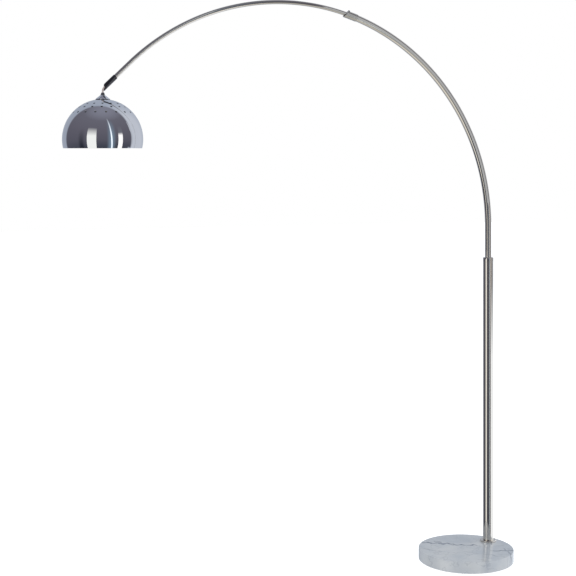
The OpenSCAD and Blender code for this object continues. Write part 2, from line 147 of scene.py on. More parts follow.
@dataclass(frozen=True)
class Finish:
    """A finish: its material's name and the slot of the record that it belongs to."""

    name: str
    slot: str

    def material(self) -> bpy.types.Material:
        """Gives the finish's material, and makes it the first time."""
        found = bpy.data.materials.get(self.name)
        if found:
            return found
        made = bpy.data.materials.new(self.name)
        made.use_nodes = True
        tree = made.node_tree
        tree.nodes.clear()
        shader = add(tree, "ShaderNodeBsdfPrincipled")
        add(tree, "ShaderNodeOutputMaterial", {"Surface": shader.outputs[0]})
        self.dress(tree, shader)
        return made

    def dress(self, tree: bpy.types.NodeTree, shader: bpy.types.Node) -> None:
        """Sets the shader up. Each kind of finish has its own."""
        raise NotImplementedError

    def pattern(
        self, tree: bpy.types.NodeTree, size: float, detail: float, stretch: float = 1.0
    ) -> Any:
        """Adds an uneven pattern on the piece's own coordinates.

        Args:
            tree: The material's tree.
            size: Size of its blotches, in millimetres.
            detail: Octaves of detail.
            stretch: How many times finer it is along Z.

        Returns:
            The socket of its value, 0 to 1.
        """
        place = add(tree, "ShaderNodeTexCoord")
        scaled = add(
            tree,
            "ShaderNodeMapping",
            {"Vector": place.outputs["Object"], "Scale": (1.0, 1.0, stretch)},
        )
        return add(
            tree,
            "ShaderNodeTexNoise",
            {"Vector": scaled.outputs[0], "Scale": 1 / (size * MM), "Detail": detail},
        ).outputs[0]

    def tint(
        self,
        tree: bpy.types.NodeTree,
        shader: bpy.types.Node,
        pattern: Any,
        span: tuple[float, float],
        tones: tuple[str, str],
    ) -> None:
        """Lets the colour follow a pattern.

        Args:
            tree: The material's tree.
            shader: The shader.
            pattern: The pattern's socket.
            span: Values of the pattern that give the two tones.
            tones: The two tones, as "#rrggbb".
        """
        share = add(tree, "ShaderNodeMapRange", (pattern, *span))
        tone = add(
            tree,
            "ShaderNodeMix",
            {0: share.outputs[0], 6: linear(tones[0]), 7: linear(tones[1])},
            data_type="RGBA",
        )
        tree.links.new(tone.outputs[2], shader.inputs["Base Color"])

    def gloss(
        self,
        tree: bpy.types.NodeTree,
        shader: bpy.types.Node,
        pattern: Any,
        span: tuple[float, float],
        rough: tuple[float, float],
    ) -> None:
        """Lets the roughness follow a pattern.

        Args:
            tree: The material's tree.
            shader: The shader.
            pattern: The pattern's socket.
            span: Values of the pattern that give the two roughnesses.
            rough: The two roughnesses.
        """
        share = add(tree, "ShaderNodeMapRange", (pattern, *span, *rough))
        tree.links.new(share.outputs[0], shader.inputs["Roughness"])

    def relief(
        self, tree: bpy.types.NodeTree, shader: bpy.types.Node, pattern: Any, depth: float
    ) -> None:
        """Lets the surface rise and fall with a pattern.

        Args:
            tree: The material's tree.
            shader: The shader.
            pattern: The pattern's socket.
            depth: Real depth of the relief, in millimetres.
        """
        bump = add(tree, "ShaderNodeBump", {"Height": pattern, "Strength": 1.0, "Distance": depth * MM})
        tree.links.new(bump.outputs[0], shader.inputs["Normal"])


@dataclass(frozen=True)
class PlatedMetal(Finish):
    """Polished or satin plating: a metal mirror with faint cloudy wiping marks in its gloss."""

    colour: str
    rough: tuple[float, float]
    cloud: float = 30.0

    def dress(self, tree: bpy.types.NodeTree, shader: bpy.types.Node) -> None:
        """Metal with a roughness that drifts a little."""
        shader.inputs["Base Color"].default_value = linear(self.colour)
        shader.inputs["Metallic"].default_value = 1.0
        self.gloss(tree, shader, self.pattern(tree, self.cloud, 3.0), (0.35, 0.65), self.rough)


@dataclass(frozen=True)
class ShadeChrome(PlatedMetal):
    """Mirror chrome outside; the inner face of the dome is unbuffed and dull, and its darker colour is
    painted shade that keeps the inside and the vents dark.

    The dome is chrome from the distance of face, in millimetres from its middle, outwards.
    """

    # Darker colour of the inner face: painted shade inside the dome, not the plating's own tone.
    inner: str = "#62666f"
    inner_rough: float = 0.5
    face: float = 124.6
    change: float = 0.3

    def dress(self, tree: bpy.types.NodeTree, shader: bpy.types.Node) -> None:
        """Mixes the two faces by the distance from the dome's middle."""
        place = add(tree, "ShaderNodeTexCoord").outputs["Object"]
        reach = add(tree, "ShaderNodeVectorMath", (place, DOME_MIDDLE), operation="DISTANCE")
        ends = ((self.face - self.change) * MM, self.face * MM)
        outer = add(tree, "ShaderNodeMapRange", (reach.outputs["Value"], *ends)).outputs[0]
        # Painted shade: the inner face takes the darker colour.
        tone = add(
            tree,
            "ShaderNodeMix",
            {0: outer, 6: linear(self.inner), 7: linear(self.colour)},
            data_type="RGBA",
        )
        tree.links.new(tone.outputs[2], shader.inputs["Base Color"])
        shader.inputs["Metallic"].default_value = 1.0
        marks = self.pattern(tree, self.cloud, 3.0)
        buffed = add(tree, "ShaderNodeMapRange", (marks, 0.35, 0.65, *self.rough))
        both = add(tree, "ShaderNodeMix", {0: outer, 2: self.inner_rough, 3: buffed.outputs[0]})
        tree.links.new(both.outputs[0], shader.inputs["Roughness"])


@dataclass(frozen=True)
class WorkedMetal(Finish):
    """Turned, rolled or zinc-plated metal: tool lines round the piece and a duller gloss.

    Real tool lines stand about 0.1 mm apart. They are drawn coarser, so that they show.
    """

    colour: str
    dark: str
    rough: tuple[float, float]
    line: float = 1.2

    def dress(self, tree: bpy.types.NodeTree, shader: bpy.types.Node) -> None:
        """Metal with tool lines in colour, gloss and relief."""
        shader.inputs["Metallic"].default_value = 1.0
        lines = self.pattern(tree, self.line * 8, 2.0, 8.0)
        self.tint(tree, shader, lines, (0.3, 0.7), (self.dark, self.colour))
        self.gloss(tree, shader, lines, (0.3, 0.7), (self.rough[1], self.rough[0]))
        self.relief(tree, shader, lines, 0.04)


@dataclass(frozen=True)
class Moulded(Finish):
    """Moulded plastic, rubber or fired ceramic: even colour, a fine skin and slight unevenness.

    The skin's real grain is well under 0.1 mm. It is drawn coarser, so that it shows.
    """

    colour: str
    shade: str
    rough: tuple[float, float]
    grain: float = 0.8
    depth: float = 0.02
    clear: float = 0.0

    def dress(self, tree: bpy.types.NodeTree, shader: bpy.types.Node) -> None:
        """Dielectric with a slight drift of tone and a fine grain."""
        drift = self.pattern(tree, 12.0, 2.0)
        self.tint(tree, shader, drift, (0.35, 0.65), (self.shade, self.colour))
        self.gloss(tree, shader, drift, (0.35, 0.65), self.rough)
        shader.inputs["Transmission Weight"].default_value = self.clear
        self.relief(tree, shader, self.pattern(tree, self.grain, 2.0), self.depth)


@dataclass(frozen=True)
class Felt(Finish):
    """Pressed felt: short matted fibres with a soft sheen.

    Real fibres are about 0.03 mm thick. They are drawn as tufts of a millimetre, so that they show.
    """

    colour: str
    shade: str
    fibre: float = 1.0

    def dress(self, tree: bpy.types.NodeTree, shader: bpy.types.Node) -> None:
        """Matt cloth with fibres in tone and relief."""
        fibres = self.pattern(tree, self.fibre, 4.0)
        self.tint(tree, shader, fibres, (0.3, 0.7), (self.shade, self.colour))
        shader.inputs["Roughness"].default_value = 0.95
        shader.inputs["Sheen Weight"].default_value = 0.4
        self.relief(tree, shader, fibres, 0.3)


@dataclass(frozen=True)
class Vein:
    """One dark vein of the marble: a jagged line across the disc, in millimetres."""

    start: tuple[float, float]
    end: tuple[float, float]
    width: float
    jag: float
    depth: float


@dataclass(frozen=True)
class Marble(Finish):
    """Polished marble: a cool grey-white ground, cloudy patches, hair veins and a few dark ones."""

    ground: str
    cloud: str
    vein: str
    veins: tuple[Vein, ...]

    def line(self, tree: bpy.types.NodeTree, vein: Vein) -> Any:
        """Draws one vein.

        Args:
            tree: The material's tree.
            vein: Its ends, width, jaggedness and depth of tone.

        Returns:
            The socket of its strength, 0 to vein.depth.
        """
        run = Vector(vein.end) - Vector(vein.start)
        middle = (Vector(vein.end) + Vector(vein.start)) / 2
        bearing = math.atan2(run.y, run.x)
        place = add(tree, "ShaderNodeTexCoord")
        local = add(
            tree,
            "ShaderNodeMapping",
            {
                "Vector": place.outputs["Object"],
                "Location": (middle.x * MM, middle.y * MM, 0.0),
                "Rotation": (0.0, 0.0, bearing),
            },
            vector_type="TEXTURE",
        )
        axes = add(tree, "ShaderNodeSeparateXYZ", (local.outputs[0],))
        wander = self.pattern(tree, 30.0, 3.0)
        jag, wide, half = vein.jag * MM, vein.width * MM, run.length * MM / 2
        swing = add(tree, "ShaderNodeMapRange", (wander, 0.25, 0.75, -jag, jag))
        beside = add(tree, MATH, (axes.outputs[1], swing.outputs[0]))
        off = add(tree, MATH, (beside.outputs[0],), operation="ABSOLUTE")
        thin = add(tree, "ShaderNodeMapRange", (off.outputs[0], wide, 0.2 * wide))
        along = add(tree, MATH, (axes.outputs[0],), operation="ABSOLUTE")
        ends = add(tree, "ShaderNodeMapRange", (along.outputs[0], half, 0.7 * half, 0.0, vein.depth))
        return add(tree, MATH, (thin.outputs[0], ends.outputs[0]), operation="MULTIPLY").outputs[0]

    def dress(self, tree: bpy.types.NodeTree, shader: bpy.types.Node) -> None:
        """Stone with clouds, hair veins and the named veins, under a polished surface."""
        clouds = self.pattern(tree, 95.0, 3.5)
        patches = add(tree, "ShaderNodeMapRange", (clouds, 0.35, 0.68))
        hair = add(tree, MATH, (self.pattern(tree, 60.0, 4.0), -0.5))
        ridge = add(tree, MATH, (hair.outputs[0],), operation="ABSOLUTE")
        strength = add(tree, "ShaderNodeMapRange", (ridge.outputs[0], 0.02, 0.0, 0.0, 0.2)).outputs[0]
        for vein in self.veins:
            both = (strength, self.line(tree, vein))
            strength = add(tree, MATH, both, operation="MAXIMUM").outputs[0]
        stone = add(
            tree,
            "ShaderNodeMix",
            {0: patches.outputs[0], 6: linear(self.ground), 7: linear(self.cloud)},
            data_type="RGBA",
        )
        veined = add(
            tree,
            "ShaderNodeMix",
            {0: strength, 6: stone.outputs[2], 7: linear(self.vein)},
            data_type="RGBA",
        )
        tree.links.new(veined.outputs[2], shader.inputs["Base Color"])
        self.gloss(tree, shader, clouds, (0.3, 0.7), (0.06, 0.12))


@dataclass(frozen=True)
class Glass(Finish):
    """Acid-frosted glass: milky, with a soft gloss that lets light through.

    The etched grain is far finer in truth. It is drawn a millimetre coarse, so that it shows.
    """

    colour: str

    def dress(self, tree: bpy.types.NodeTree, shader: bpy.types.Node) -> None:
        """Rough glass with a fine etched grain."""
        shader.inputs["Base Color"].default_value = linear(self.colour)
        shader.inputs["Transmission Weight"].default_value = 0.45
        shader.inputs["IOR"].default_value = 1.5
        grain = self.pattern(tree, 1.0, 3.0)
        self.gloss(tree, shader, grain, (0.3, 0.7), (0.4, 0.55))
        self.relief(tree, shader, grain, 0.02)


# Mirror chrome on spun steel: a clean cold mirror, so it shows the whole studio. Its inner face is
# darkened with painted shade.
CHROME = ShadeChrome("mirror_chrome_on_spun_steel", "chrome_plate", "#e2e5eb", (0.015, 0.035), 60.0)
# Polished nickel on steel tube: a mirror that is slightly warm and a little softer than chrome.
NICKEL = PlatedMetal("polished_nickel_on_steel_tube", "nickel_plate", "#d8d4cd", (0.05, 0.09), 25.0)
# Satin nickel on a zinc die casting: a blurred grey metal.
SATIN = PlatedMetal("satin_nickel_on_zinc_casting", "satin_zinc", "#c6c3bd", (0.22, 0.32), 8.0)
# Black nickel on brass tube: a dark mirror with one hard highlight.
BLACK_NICKEL = PlatedMetal("black_nickel_on_brass_sleeve", "black_nickel", "#5a5a5e", (0.12, 0.18), 12.0)
# Zinc-plated steel: bluish grey, matt, with tool lines.
ZINC = WorkedMetal("zinc_plated_turned_steel", "zinc_steel", "#c3c6c9", "#8d9094", (0.28, 0.42))
# Turned brass: yellow metal with fine lathe lines.
BRASS = WorkedMetal("turned_brass", "brass", "#d9b45f", "#a88239", (0.22, 0.36), 0.8)
# Rolled aluminium of the bulb's cap: pale and satin.
CAP_METAL = WorkedMetal("rolled_aluminium_bulb_cap", "cap_aluminium", "#d6d7da", "#a9abb0", (0.3, 0.42))
# Moulded rubber: near-black, dull, with a fine skin.
RUBBER = Moulded("moulded_black_rubber", "black_rubber", "#232325", "#161618", (0.55, 0.7))
# Natural nylon: creamy and slightly waxy.
NYLON = Moulded("machined_natural_nylon", "nylon", "#e6e2d6", "#d8d3c5", (0.4, 0.5))
# Clear jacket over a pale core: it reads as a milky pinkish lead.
JACKET = Moulded(
    "clear_pvc_lead_jacket", "clear_pvc", "#e6d8d3", "#cdbcb8", (0.22, 0.34), 2.0, 0.03, 0.15
)
# Glass-filled plastic of the cord grip: dark grey with a dull gloss.
GRIP_PLASTIC = Moulded("moulded_grey_grip_plastic", "grey_plastic", "#56565c", "#414147", (0.35, 0.5))
# Moulded thermoset of the lamp holder: off-white with a soft gloss.
HOLDER_PLASTIC = Moulded(
    "moulded_lamp_holder_plastic", "white_plastic", "#ebe8df", "#dedacf", (0.3, 0.42)
)
# Unglazed steatite: matt and chalky.
CERAMIC = Moulded("unglazed_steatite", "white_ceramic", "#eeebe2", "#e0dccf", (0.7, 0.85), 0.5, 0.05)
# Pressed felt under the slab.
FELT = Felt("pressed_grey_felt", "felt", "#4a4947", "#2f2e2d")
# Frosted bulb glass.
FROST = Glass("acid_frosted_bulb_glass", "frosted_glass", "#f6f3ea")
# Polished marble: its dark veins run across the disc, the hair veins everywhere.
STONE = Marble(
    "polished_grey_white_marble",
    "marble",
    "#d6d8da",
    "#bec4cc",
    "#5a6577",
    (
        Vein((-130, 122), (60, -6), 9.0, 20.0, 0.85),
        Vein((56, -60), (156, -92), 7.0, 12.0, 0.8),
        Vein((-40, -20), (90, -150), 3.0, 8.0, 0.35),
        Vein((120, -40), (96, -160), 3.4, 6.0, 0.55),
        Vein((-160, 60), (-90, -20), 2.6, 8.0, 0.5),
    ),
)

FINISHES: dict[str, Finish] = {
    made.slot: made
    for made in (
        CHROME, NICKEL, SATIN, BLACK_NICKEL, ZINC, BRASS, CAP_METAL, RUBBER, NYLON, JACKET,
        GRIP_PLASTIC, HOLDER_PLASTIC, CERAMIC, FELT, FROST, STONE,
    )
}


# ---------- places ----------


@dataclass(frozen=True)
class Upright:
    """An upright axis. Heights run up from its foot, in millimetres."""

    x: float
    y: float
    foot: float = 0.0

    def at(self, radius: float, angle: float, height: float) -> Vector:
        """Gives the place of a point round the axis, in metres."""
        out = Vector((radius * math.cos(angle), radius * math.sin(angle), height))
        return (Vector((self.x, self.y, self.foot)) + out) * MM

    def raised(self, foot: float) -> "Upright":
        """Gives the same axis with its foot at a height."""
        return Upright(self.x, self.y, foot)


@dataclass(frozen=True)
class Sideways:
    """An axis that points along +Y out of the pole's back."""

    x: float
    y: float
    z: float

    def at(self, radius: float, angle: float, reach: float) -> Vector:
        """Gives the place of a point round the axis, in metres."""
        out = Vector((radius * math.cos(angle), reach, radius * math.sin(angle)))
        return (Vector((self.x, self.y, self.z)) + out) * MM


@dataclass(frozen=True)
class ArmLine:
    """The arm's middle line: a straight rise, an arc and a straight tip.

    Distance 0 is the arc's start, angle 0 points away from the arc's centre, and all is in
    millimetres.
    """

    x: float
    y: float
    z: float
    radius: float = 745.0
    end: float = math.radians(134)

    def at(self, radius: float, angle: float, along: float) -> Vector:
        """Gives the place of a point round the line, in metres."""
        swept = min(max(along, 0.0), self.radius * self.end)
        turn = swept / self.radius
        extra = along - swept
        out = self.radius + radius * math.cos(angle)
        return MM * Vector(
            (
                self.x + out * math.cos(turn) - extra * math.sin(turn),
                self.y + radius * math.sin(angle),
                self.z + out * math.sin(turn) + extra * math.cos(turn),
            )
        )

    def degrees(self, angle: float) -> float:
        """Gives the distance along the arc of an angle in degrees."""
        return math.radians(angle) * self.radius


@dataclass(frozen=True)
class Layout:
    """Where the frame's axes stand, in millimetres, as its joints say."""

    pole: Upright
    arm: ArmLine
    shade: Upright
    grip_top: float

    @staticmethod
    def of(joints: Sequence[dict[str, Any]]) -> "Layout":
        """Reads the axes from the frame's joints.

        Args:
            joints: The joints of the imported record.

        Returns:
            The layout.
        """
        places = {j["name"]: [v / MM for v in j["pos_m"]] for j in joints}
        pole = places["arm_swivel"]
        arc = places["arm_extend"]
        hang = places["shade_swing"]
        return Layout(Upright(*pole[:2]), ArmLine(*arc), Upright(*hang[:2]), hang[2])


# ---------- meshes ----------


def rounded(points: Sequence[tuple[float, ...]], steps: int = 5) -> Outline:
    """Rounds the corners of a closed outline.

    Args:
        points: Corners as (radius, height) or (radius, height, rounding).
        steps: Straight pieces in each rounding.

    Returns:
        The outline.
    """
    made: Outline = []
    for i, corner in enumerate(points):
        here = Vector(corner[:2])
        if len(corner) < 3:
            made.append((here.x, here.y))
            continue
        back = (Vector(points[i - 1][:2]) - here).normalized()
        ahead = (Vector(points[(i + 1) % len(points)][:2]) - here).normalized()
        half = back.angle(ahead) / 2
        reach = corner[2] / math.tan(half)
        centre = here + (back + ahead).normalized() * (corner[2] / math.sin(half))
        first = here + back * reach - centre
        last = here + ahead * reach - centre
        for k in range(steps + 1):
            spoke = first.slerp(last, k / steps) * corner[2]
            made.append((centre.x + spoke.x, centre.y + spoke.y))
    return made


def outwards(mesh: bpy.types.Mesh) -> None:
    """Turns a closed mesh's faces outwards if they point in."""
    work = bmesh.new()
    work.from_mesh(mesh)
    if work.calc_volume(signed=True) < 0:
        bmesh.ops.reverse_faces(work, faces=work.faces)
        work.to_mesh(mesh)
    work.free()


def revolve(
    name: str, outline: Outline | Callable[[float], Outline], place: Place, turns: int = 96
) -> bpy.types.Object:
    """Makes a closed solid by turning an outline round a place's axis.

    Args:
        name: The object's name.
        outline: Closed outline of (radius, height), or a function that gives it for an angle.
        place: Gives the point for a radius, an angle and a height.
        turns: Steps round the axis.

    Returns:
        The object, smooth but for its sharp edges.
    """
    rings = []
    for k in range(turns):
        angle = TURN * k / turns
        points = outline(angle) if callable(outline) else outline
        rings.append([place(r, angle, h) for r, h in points])
    size = len(rings[0])
    faces = []
    for k in range(turns):
        other = (k + 1) % turns
        for i in range(size):
            j = (i + 1) % size
            faces.append((k * size + i, other * size + i, other * size + j, k * size + j))
    mesh = bpy.data.meshes.new(name)
    mesh.from_pydata([p for ring in rings for p in ring], [], faces)
    work = bmesh.new()
    work.from_mesh(mesh)
    bmesh.ops.remove_doubles(work, verts=work.verts, dist=1e-7)
    loose = [e for e in work.edges if not e.link_faces]
    bmesh.ops.delete(work, geom=loose, context="EDGES")
    bmesh.ops.recalc_face_normals(work, faces=work.faces)
    work.to_mesh(mesh)
    work.free()
    outwards(mesh)
    return shown(name, mesh)


def shown(name: str, mesh: bpy.types.Mesh, sharp: float = 32.0) -> bpy.types.Object:
    """Links a mesh as an object, smooth but for edges above an angle.

    Args:
        name: The object's name.
        mesh: Its mesh.
        sharp: Angle in degrees from which an edge stays sharp.

    Returns:
        The object.
    """
    mesh.shade_smooth()
    mesh.set_sharp_from_angle(angle=math.radians(sharp))
    made = bpy.data.objects.new(name, mesh)
    bpy.context.scene.collection.objects.link(made)
    return made


def settled(name: str, source: bpy.types.Object) -> bpy.types.Object:
    """Turns an object with live modifiers into one with a plain mesh.

    Args:
        name: The new object's name.
        source: The object, which is removed.

    Returns:
        The new object.
    """
    graph = bpy.context.evaluated_depsgraph_get()
    mesh = bpy.data.meshes.new_from_object(source.evaluated_get(graph))
    bpy.data.objects.remove(source)
    outwards(mesh)
    mesh.name = name
    return shown(name, mesh)


def cut_away(name: str, body: bpy.types.Object, cutters: Sequence[bpy.types.Object]) -> bpy.types.Object:
    """Cuts solids out of a solid.

    Args:
        name: The result's name.
        body: The solid that is cut.
        cutters: The solids to take away, which are removed.

    Returns:
        The cut solid.
    """
    for cutter in cutters:
        cut = body.modifiers.new("cut", "BOOLEAN")
        cut.object = cutter
        cut.operation = "DIFFERENCE"
        cut.solver = "EXACT"
    made = settled(name, body)
    for cutter in cutters:
        bpy.data.objects.remove(cutter)
    return made


def exact_shading(piece: bpy.types.Object, rule: Callable[[Vector, Vector], Vector | None]) -> None:
    """Sets each corner's shading normal from the surface's own rule.

    Args:
        piece: The object.
        rule: Gives the normal for a point and its face's normal, or None to keep the face's.
    """
    mesh = piece.data
    normals = [Vector(n.vector) for n in mesh.corner_normals]
    for face in mesh.polygons:
        for corner in face.loop_indices:
            point = mesh.vertices[mesh.loops[corner].vertex_index].co
            normals[corner] = rule(point, face.normal) or normals[corner]
    mesh.normals_split_custom_set([tuple(n) for n in normals])


def dress(piece: bpy.types.Object, finish: Finish, body: Body, *nodes: str) -> bpy.types.Object:
    """Gives a finished piece its material in a slot, puts it on its body and hides the CAD nodes that it
    stands for.

    Args:
        piece: The piece, at the origin with its place in its mesh.
        finish: Its finish.
        body: The body it moves with.
        nodes: The CAD nodes it replaces.

    Returns:
        The piece.
    """
    piece.data.materials.clear()
    piece.data.materials.append(finish.material())
    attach(piece, body.value)
    if nodes:
        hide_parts(*nodes)
    LOG.info("%s: %d faces, %s, for %s", piece.name, len(piece.data.polygons), finish.name, nodes)
    return piece


class Rule:
    """A Geometry Nodes tree with named sizes, which ends in Realize Instances and Set Material."""

    def __init__(self, name: str) -> None:
        """Starts a tree that takes the object's own mesh and gives a new one."""
        self.tree = bpy.data.node_groups.new(name, "GeometryNodeTree")
        face = self.tree.interface
        face.new_socket("Mesh", in_out="INPUT", socket_type="NodeSocketGeometry")
        face.new_socket("Mesh", in_out="OUTPUT", socket_type="NodeSocketGeometry")
        self.given = add(self.tree, "NodeGroupInput")
        self.values: dict[str, Any] = {}

    def size(self, label: str, value: float | int | tuple[float, float, float]) -> Any:
        """Adds a named input.

        Args:
            label: The input's name.
            value: Its value for this object.

        Returns:
            The socket that gives it.
        """
        kinds = {float: "NodeSocketFloat", int: "NodeSocketInt", tuple: "NodeSocketVector"}
        socket = self.tree.interface.new_socket(
            label, in_out="INPUT", socket_type=kinds[type(value)]
        )
        self.values[socket.identifier] = value
        return self.given.outputs[label]

    def mesh(self) -> Any:
        """Gives the socket of the object's own mesh."""
        return self.given.outputs["Mesh"]

    def node(self, kind: str, feeds: dict[Any, Any] | tuple[Any, ...] = (), **settings: Any) -> Any:
        """Adds a node and gives its first output."""
        return add(self.tree, kind, feeds, **settings).outputs[0]

    def grown(
        self,
        name: str,
        result: Any,
        finish: Finish,
        on: bpy.types.Object | None = None,
        wall: float = 0.0,
    ) -> bpy.types.Object:
        """Ends the tree, runs it and keeps its result as a plain mesh.

        Args:
            name: The new object's name.
            result: The tree's geometry.
            finish: The finish that Set Material gives.
            on: The object that the tree starts from, or None for an empty one.
            wall: Thickness in metres to give a sheet towards its inside, or 0.

        Returns:
            The new object.
        """
        real = self.node("GeometryNodeRealizeInstances", (result,))
        smooth = self.node("GeometryNodeSetShadeSmooth", (real,))
        done = self.node("GeometryNodeSetMaterial", {"Geometry": smooth, "Material": finish.material()})
        add(self.tree, "NodeGroupOutput", (done,))
        if on is None:
            on = bpy.data.objects.new(name, bpy.data.meshes.new(name))
            bpy.context.scene.collection.objects.link(on)
        made = on.modifiers.new("rule", "NODES")
        made.node_group = self.tree
        for key, value in self.values.items():
            made[key] = value
        if wall:
            thick = on.modifiers.new("wall", "SOLIDIFY")
            thick.thickness = wall
            thick.offset = -1.0
            thick.use_even_offset = True
        return settled(name, on)


def helix(
    name: str,
    place: Upright,
    radius: float,
    wire: float,
    foot: float,
    pitch: float,
    turns: float,
    finish: Finish,
    sides: int = 8,
) -> bpy.types.Object:
    """Winds a round bar or cord up an upright axis.

    Args:
        name: The object's name.
        place: The axis.
        radius: Radius of the bar's middle, in millimetres.
        wire: Radius of the bar.
        foot: Height of the first turn's middle.
        pitch: Rise of one turn.
        turns: Number of turns.
        finish: Its finish.
        sides: Sides of the bar.

    Returns:
        The object.
    """
    rule = Rule(name)
    across = rule.size("Radius", radius * MM)
    line = rule.node(
        "GeometryNodeCurveSpiral",
        {
            "Resolution": 32,
            "Rotations": rule.size("Turns", float(turns)),
            "Start Radius": across,
            "End Radius": across,
            "Height": rule.size("Height", pitch * turns * MM),
            "Reverse": False,
        },
    )
    ring = rule.node(
        "GeometryNodeCurvePrimitiveCircle",
        {"Resolution": sides, "Radius": rule.size("Bar radius", wire * MM)},
    )
    bar = rule.node("GeometryNodeCurveToMesh", {0: line, "Profile Curve": ring, "Fill Caps": True})
    moved = rule.node(
        "GeometryNodeTransform",
        {"Geometry": bar, "Translation": rule.size("Foot", tuple(place.at(0, 0, foot)))},
    )
    return rule.grown(name, moved, finish)


def joined(name: str, *pieces: bpy.types.Object) -> bpy.types.Object:
    """Joins objects at the origin into one.

    Args:
        name: The result's name.
        pieces: The objects, of one finish.

    Returns:
        The one object.
    """
    work = bmesh.new()
    for piece in pieces:
        work.from_mesh(piece.data)
        bpy.data.objects.remove(piece)
    mesh = bpy.data.meshes.new(name)
    work.to_mesh(mesh)
    work.free()
    return shown(name, mesh)


# ---------- stand ----------


@dataclass
class Base:
    """Marble disc, its felt pad and the fasteners under the pole."""

    layout: Layout
    slab_d: float = 320.0
    slab_h: float = 38.0
    edge: float = 2.0
    pad_h: float = 2.0
    pad_d: float = 304.0
    recess_d: float = 46.0
    recess_h: float = 14.0
    hole_d: float = 12.4
    bolt_d: float = 12.0
    bolt_seat: float = 11.0
    bolt_head_h: float = 7.5
    bolt_head_r: float = 10.8
    bolt_bevel: float = 1.6
    bolt_top: float = 70.0
    thread_depth: float = 0.9
    thread_r: float = 0.85
    thread_pitch: float = 1.75
    thread_turns: int = 32

    def below(self, name: str, radius: float, low: float, high: float) -> bpy.types.Object:
        """Makes a round cutter on the pole's axis."""
        return revolve(
            name, [(0, low), (radius, low), (radius, high), (0, high)], self.layout.pole.at, 48
        )

    def slab(self) -> bpy.types.Object:
        """Makes the marble disc, with the bolt's recess and hole in it."""
        low, high, edge = self.pad_h, self.pad_h + self.slab_h, self.slab_d / 2
        outline = [(0, low)]
        outline += rounded([(edge, low, self.edge), (edge, high, self.edge), (0, high), (0, low)])
        disc = revolve("disc", outline[:-1], Upright(0, 0).at, 192)
        recess = self.below("recess", self.recess_d / 2, low - 1, low + self.recess_h)
        hole = self.below("hole", self.hole_d / 2, low, high + 1)
        made = cut_away("marble_disc", disc, [recess, hole])
        return dress(made, STONE, Body.STAND, "base_slab")

    def pad(self) -> bpy.types.Object:
        """Makes the felt pad, with a soft edge and a hole under the bolt."""
        r, high = self.pad_d / 2, self.pad_h
        outline = [(0, 0)] + rounded([(r, 0, 0.6), (r, high, 0.6), (0, high), (0, 0)], 3)
        disc = revolve("pad", outline[:-1], Upright(0, 0).at, 128)
        made = cut_away("felt_pad", disc, [self.below("gap", self.recess_d / 2, -1, high + 1)])
        return dress(made, FELT, Body.STAND, "base_pad")

    def bolt(self) -> bpy.types.Object:
        """Makes the hexagon bolt: a bevelled head and a shank with a thread wound on it."""
        pole, seat, r = self.layout.pole, self.bolt_seat, self.bolt_head_r
        low = seat - self.bolt_head_h
        hexagon = [(0, low), (r - self.bolt_bevel, low), (r, low + 1), (r, seat), (0, seat)]
        head = revolve("head", hexagon, pole.at, 6)
        core, top = self.bolt_d / 2 - self.thread_depth, self.bolt_top
        bar = [(0, seat), (core, seat), (core, top - 1), (core - 1, top), (0, top)]
        shank = revolve("shank", bar, pole.at, 32)
        thread = helix(
            "thread", pole, core, self.thread_r, seat + 1, self.thread_pitch, self.thread_turns, ZINC, 6
        )
        return dress(joined("pole_hex_bolt", head, shank, thread), ZINC, Body.STAND, "pole_bolt")

    def build(self) -> None:
        """Makes every piece of the base."""
        self.slab()
        self.pad()
        self.bolt()


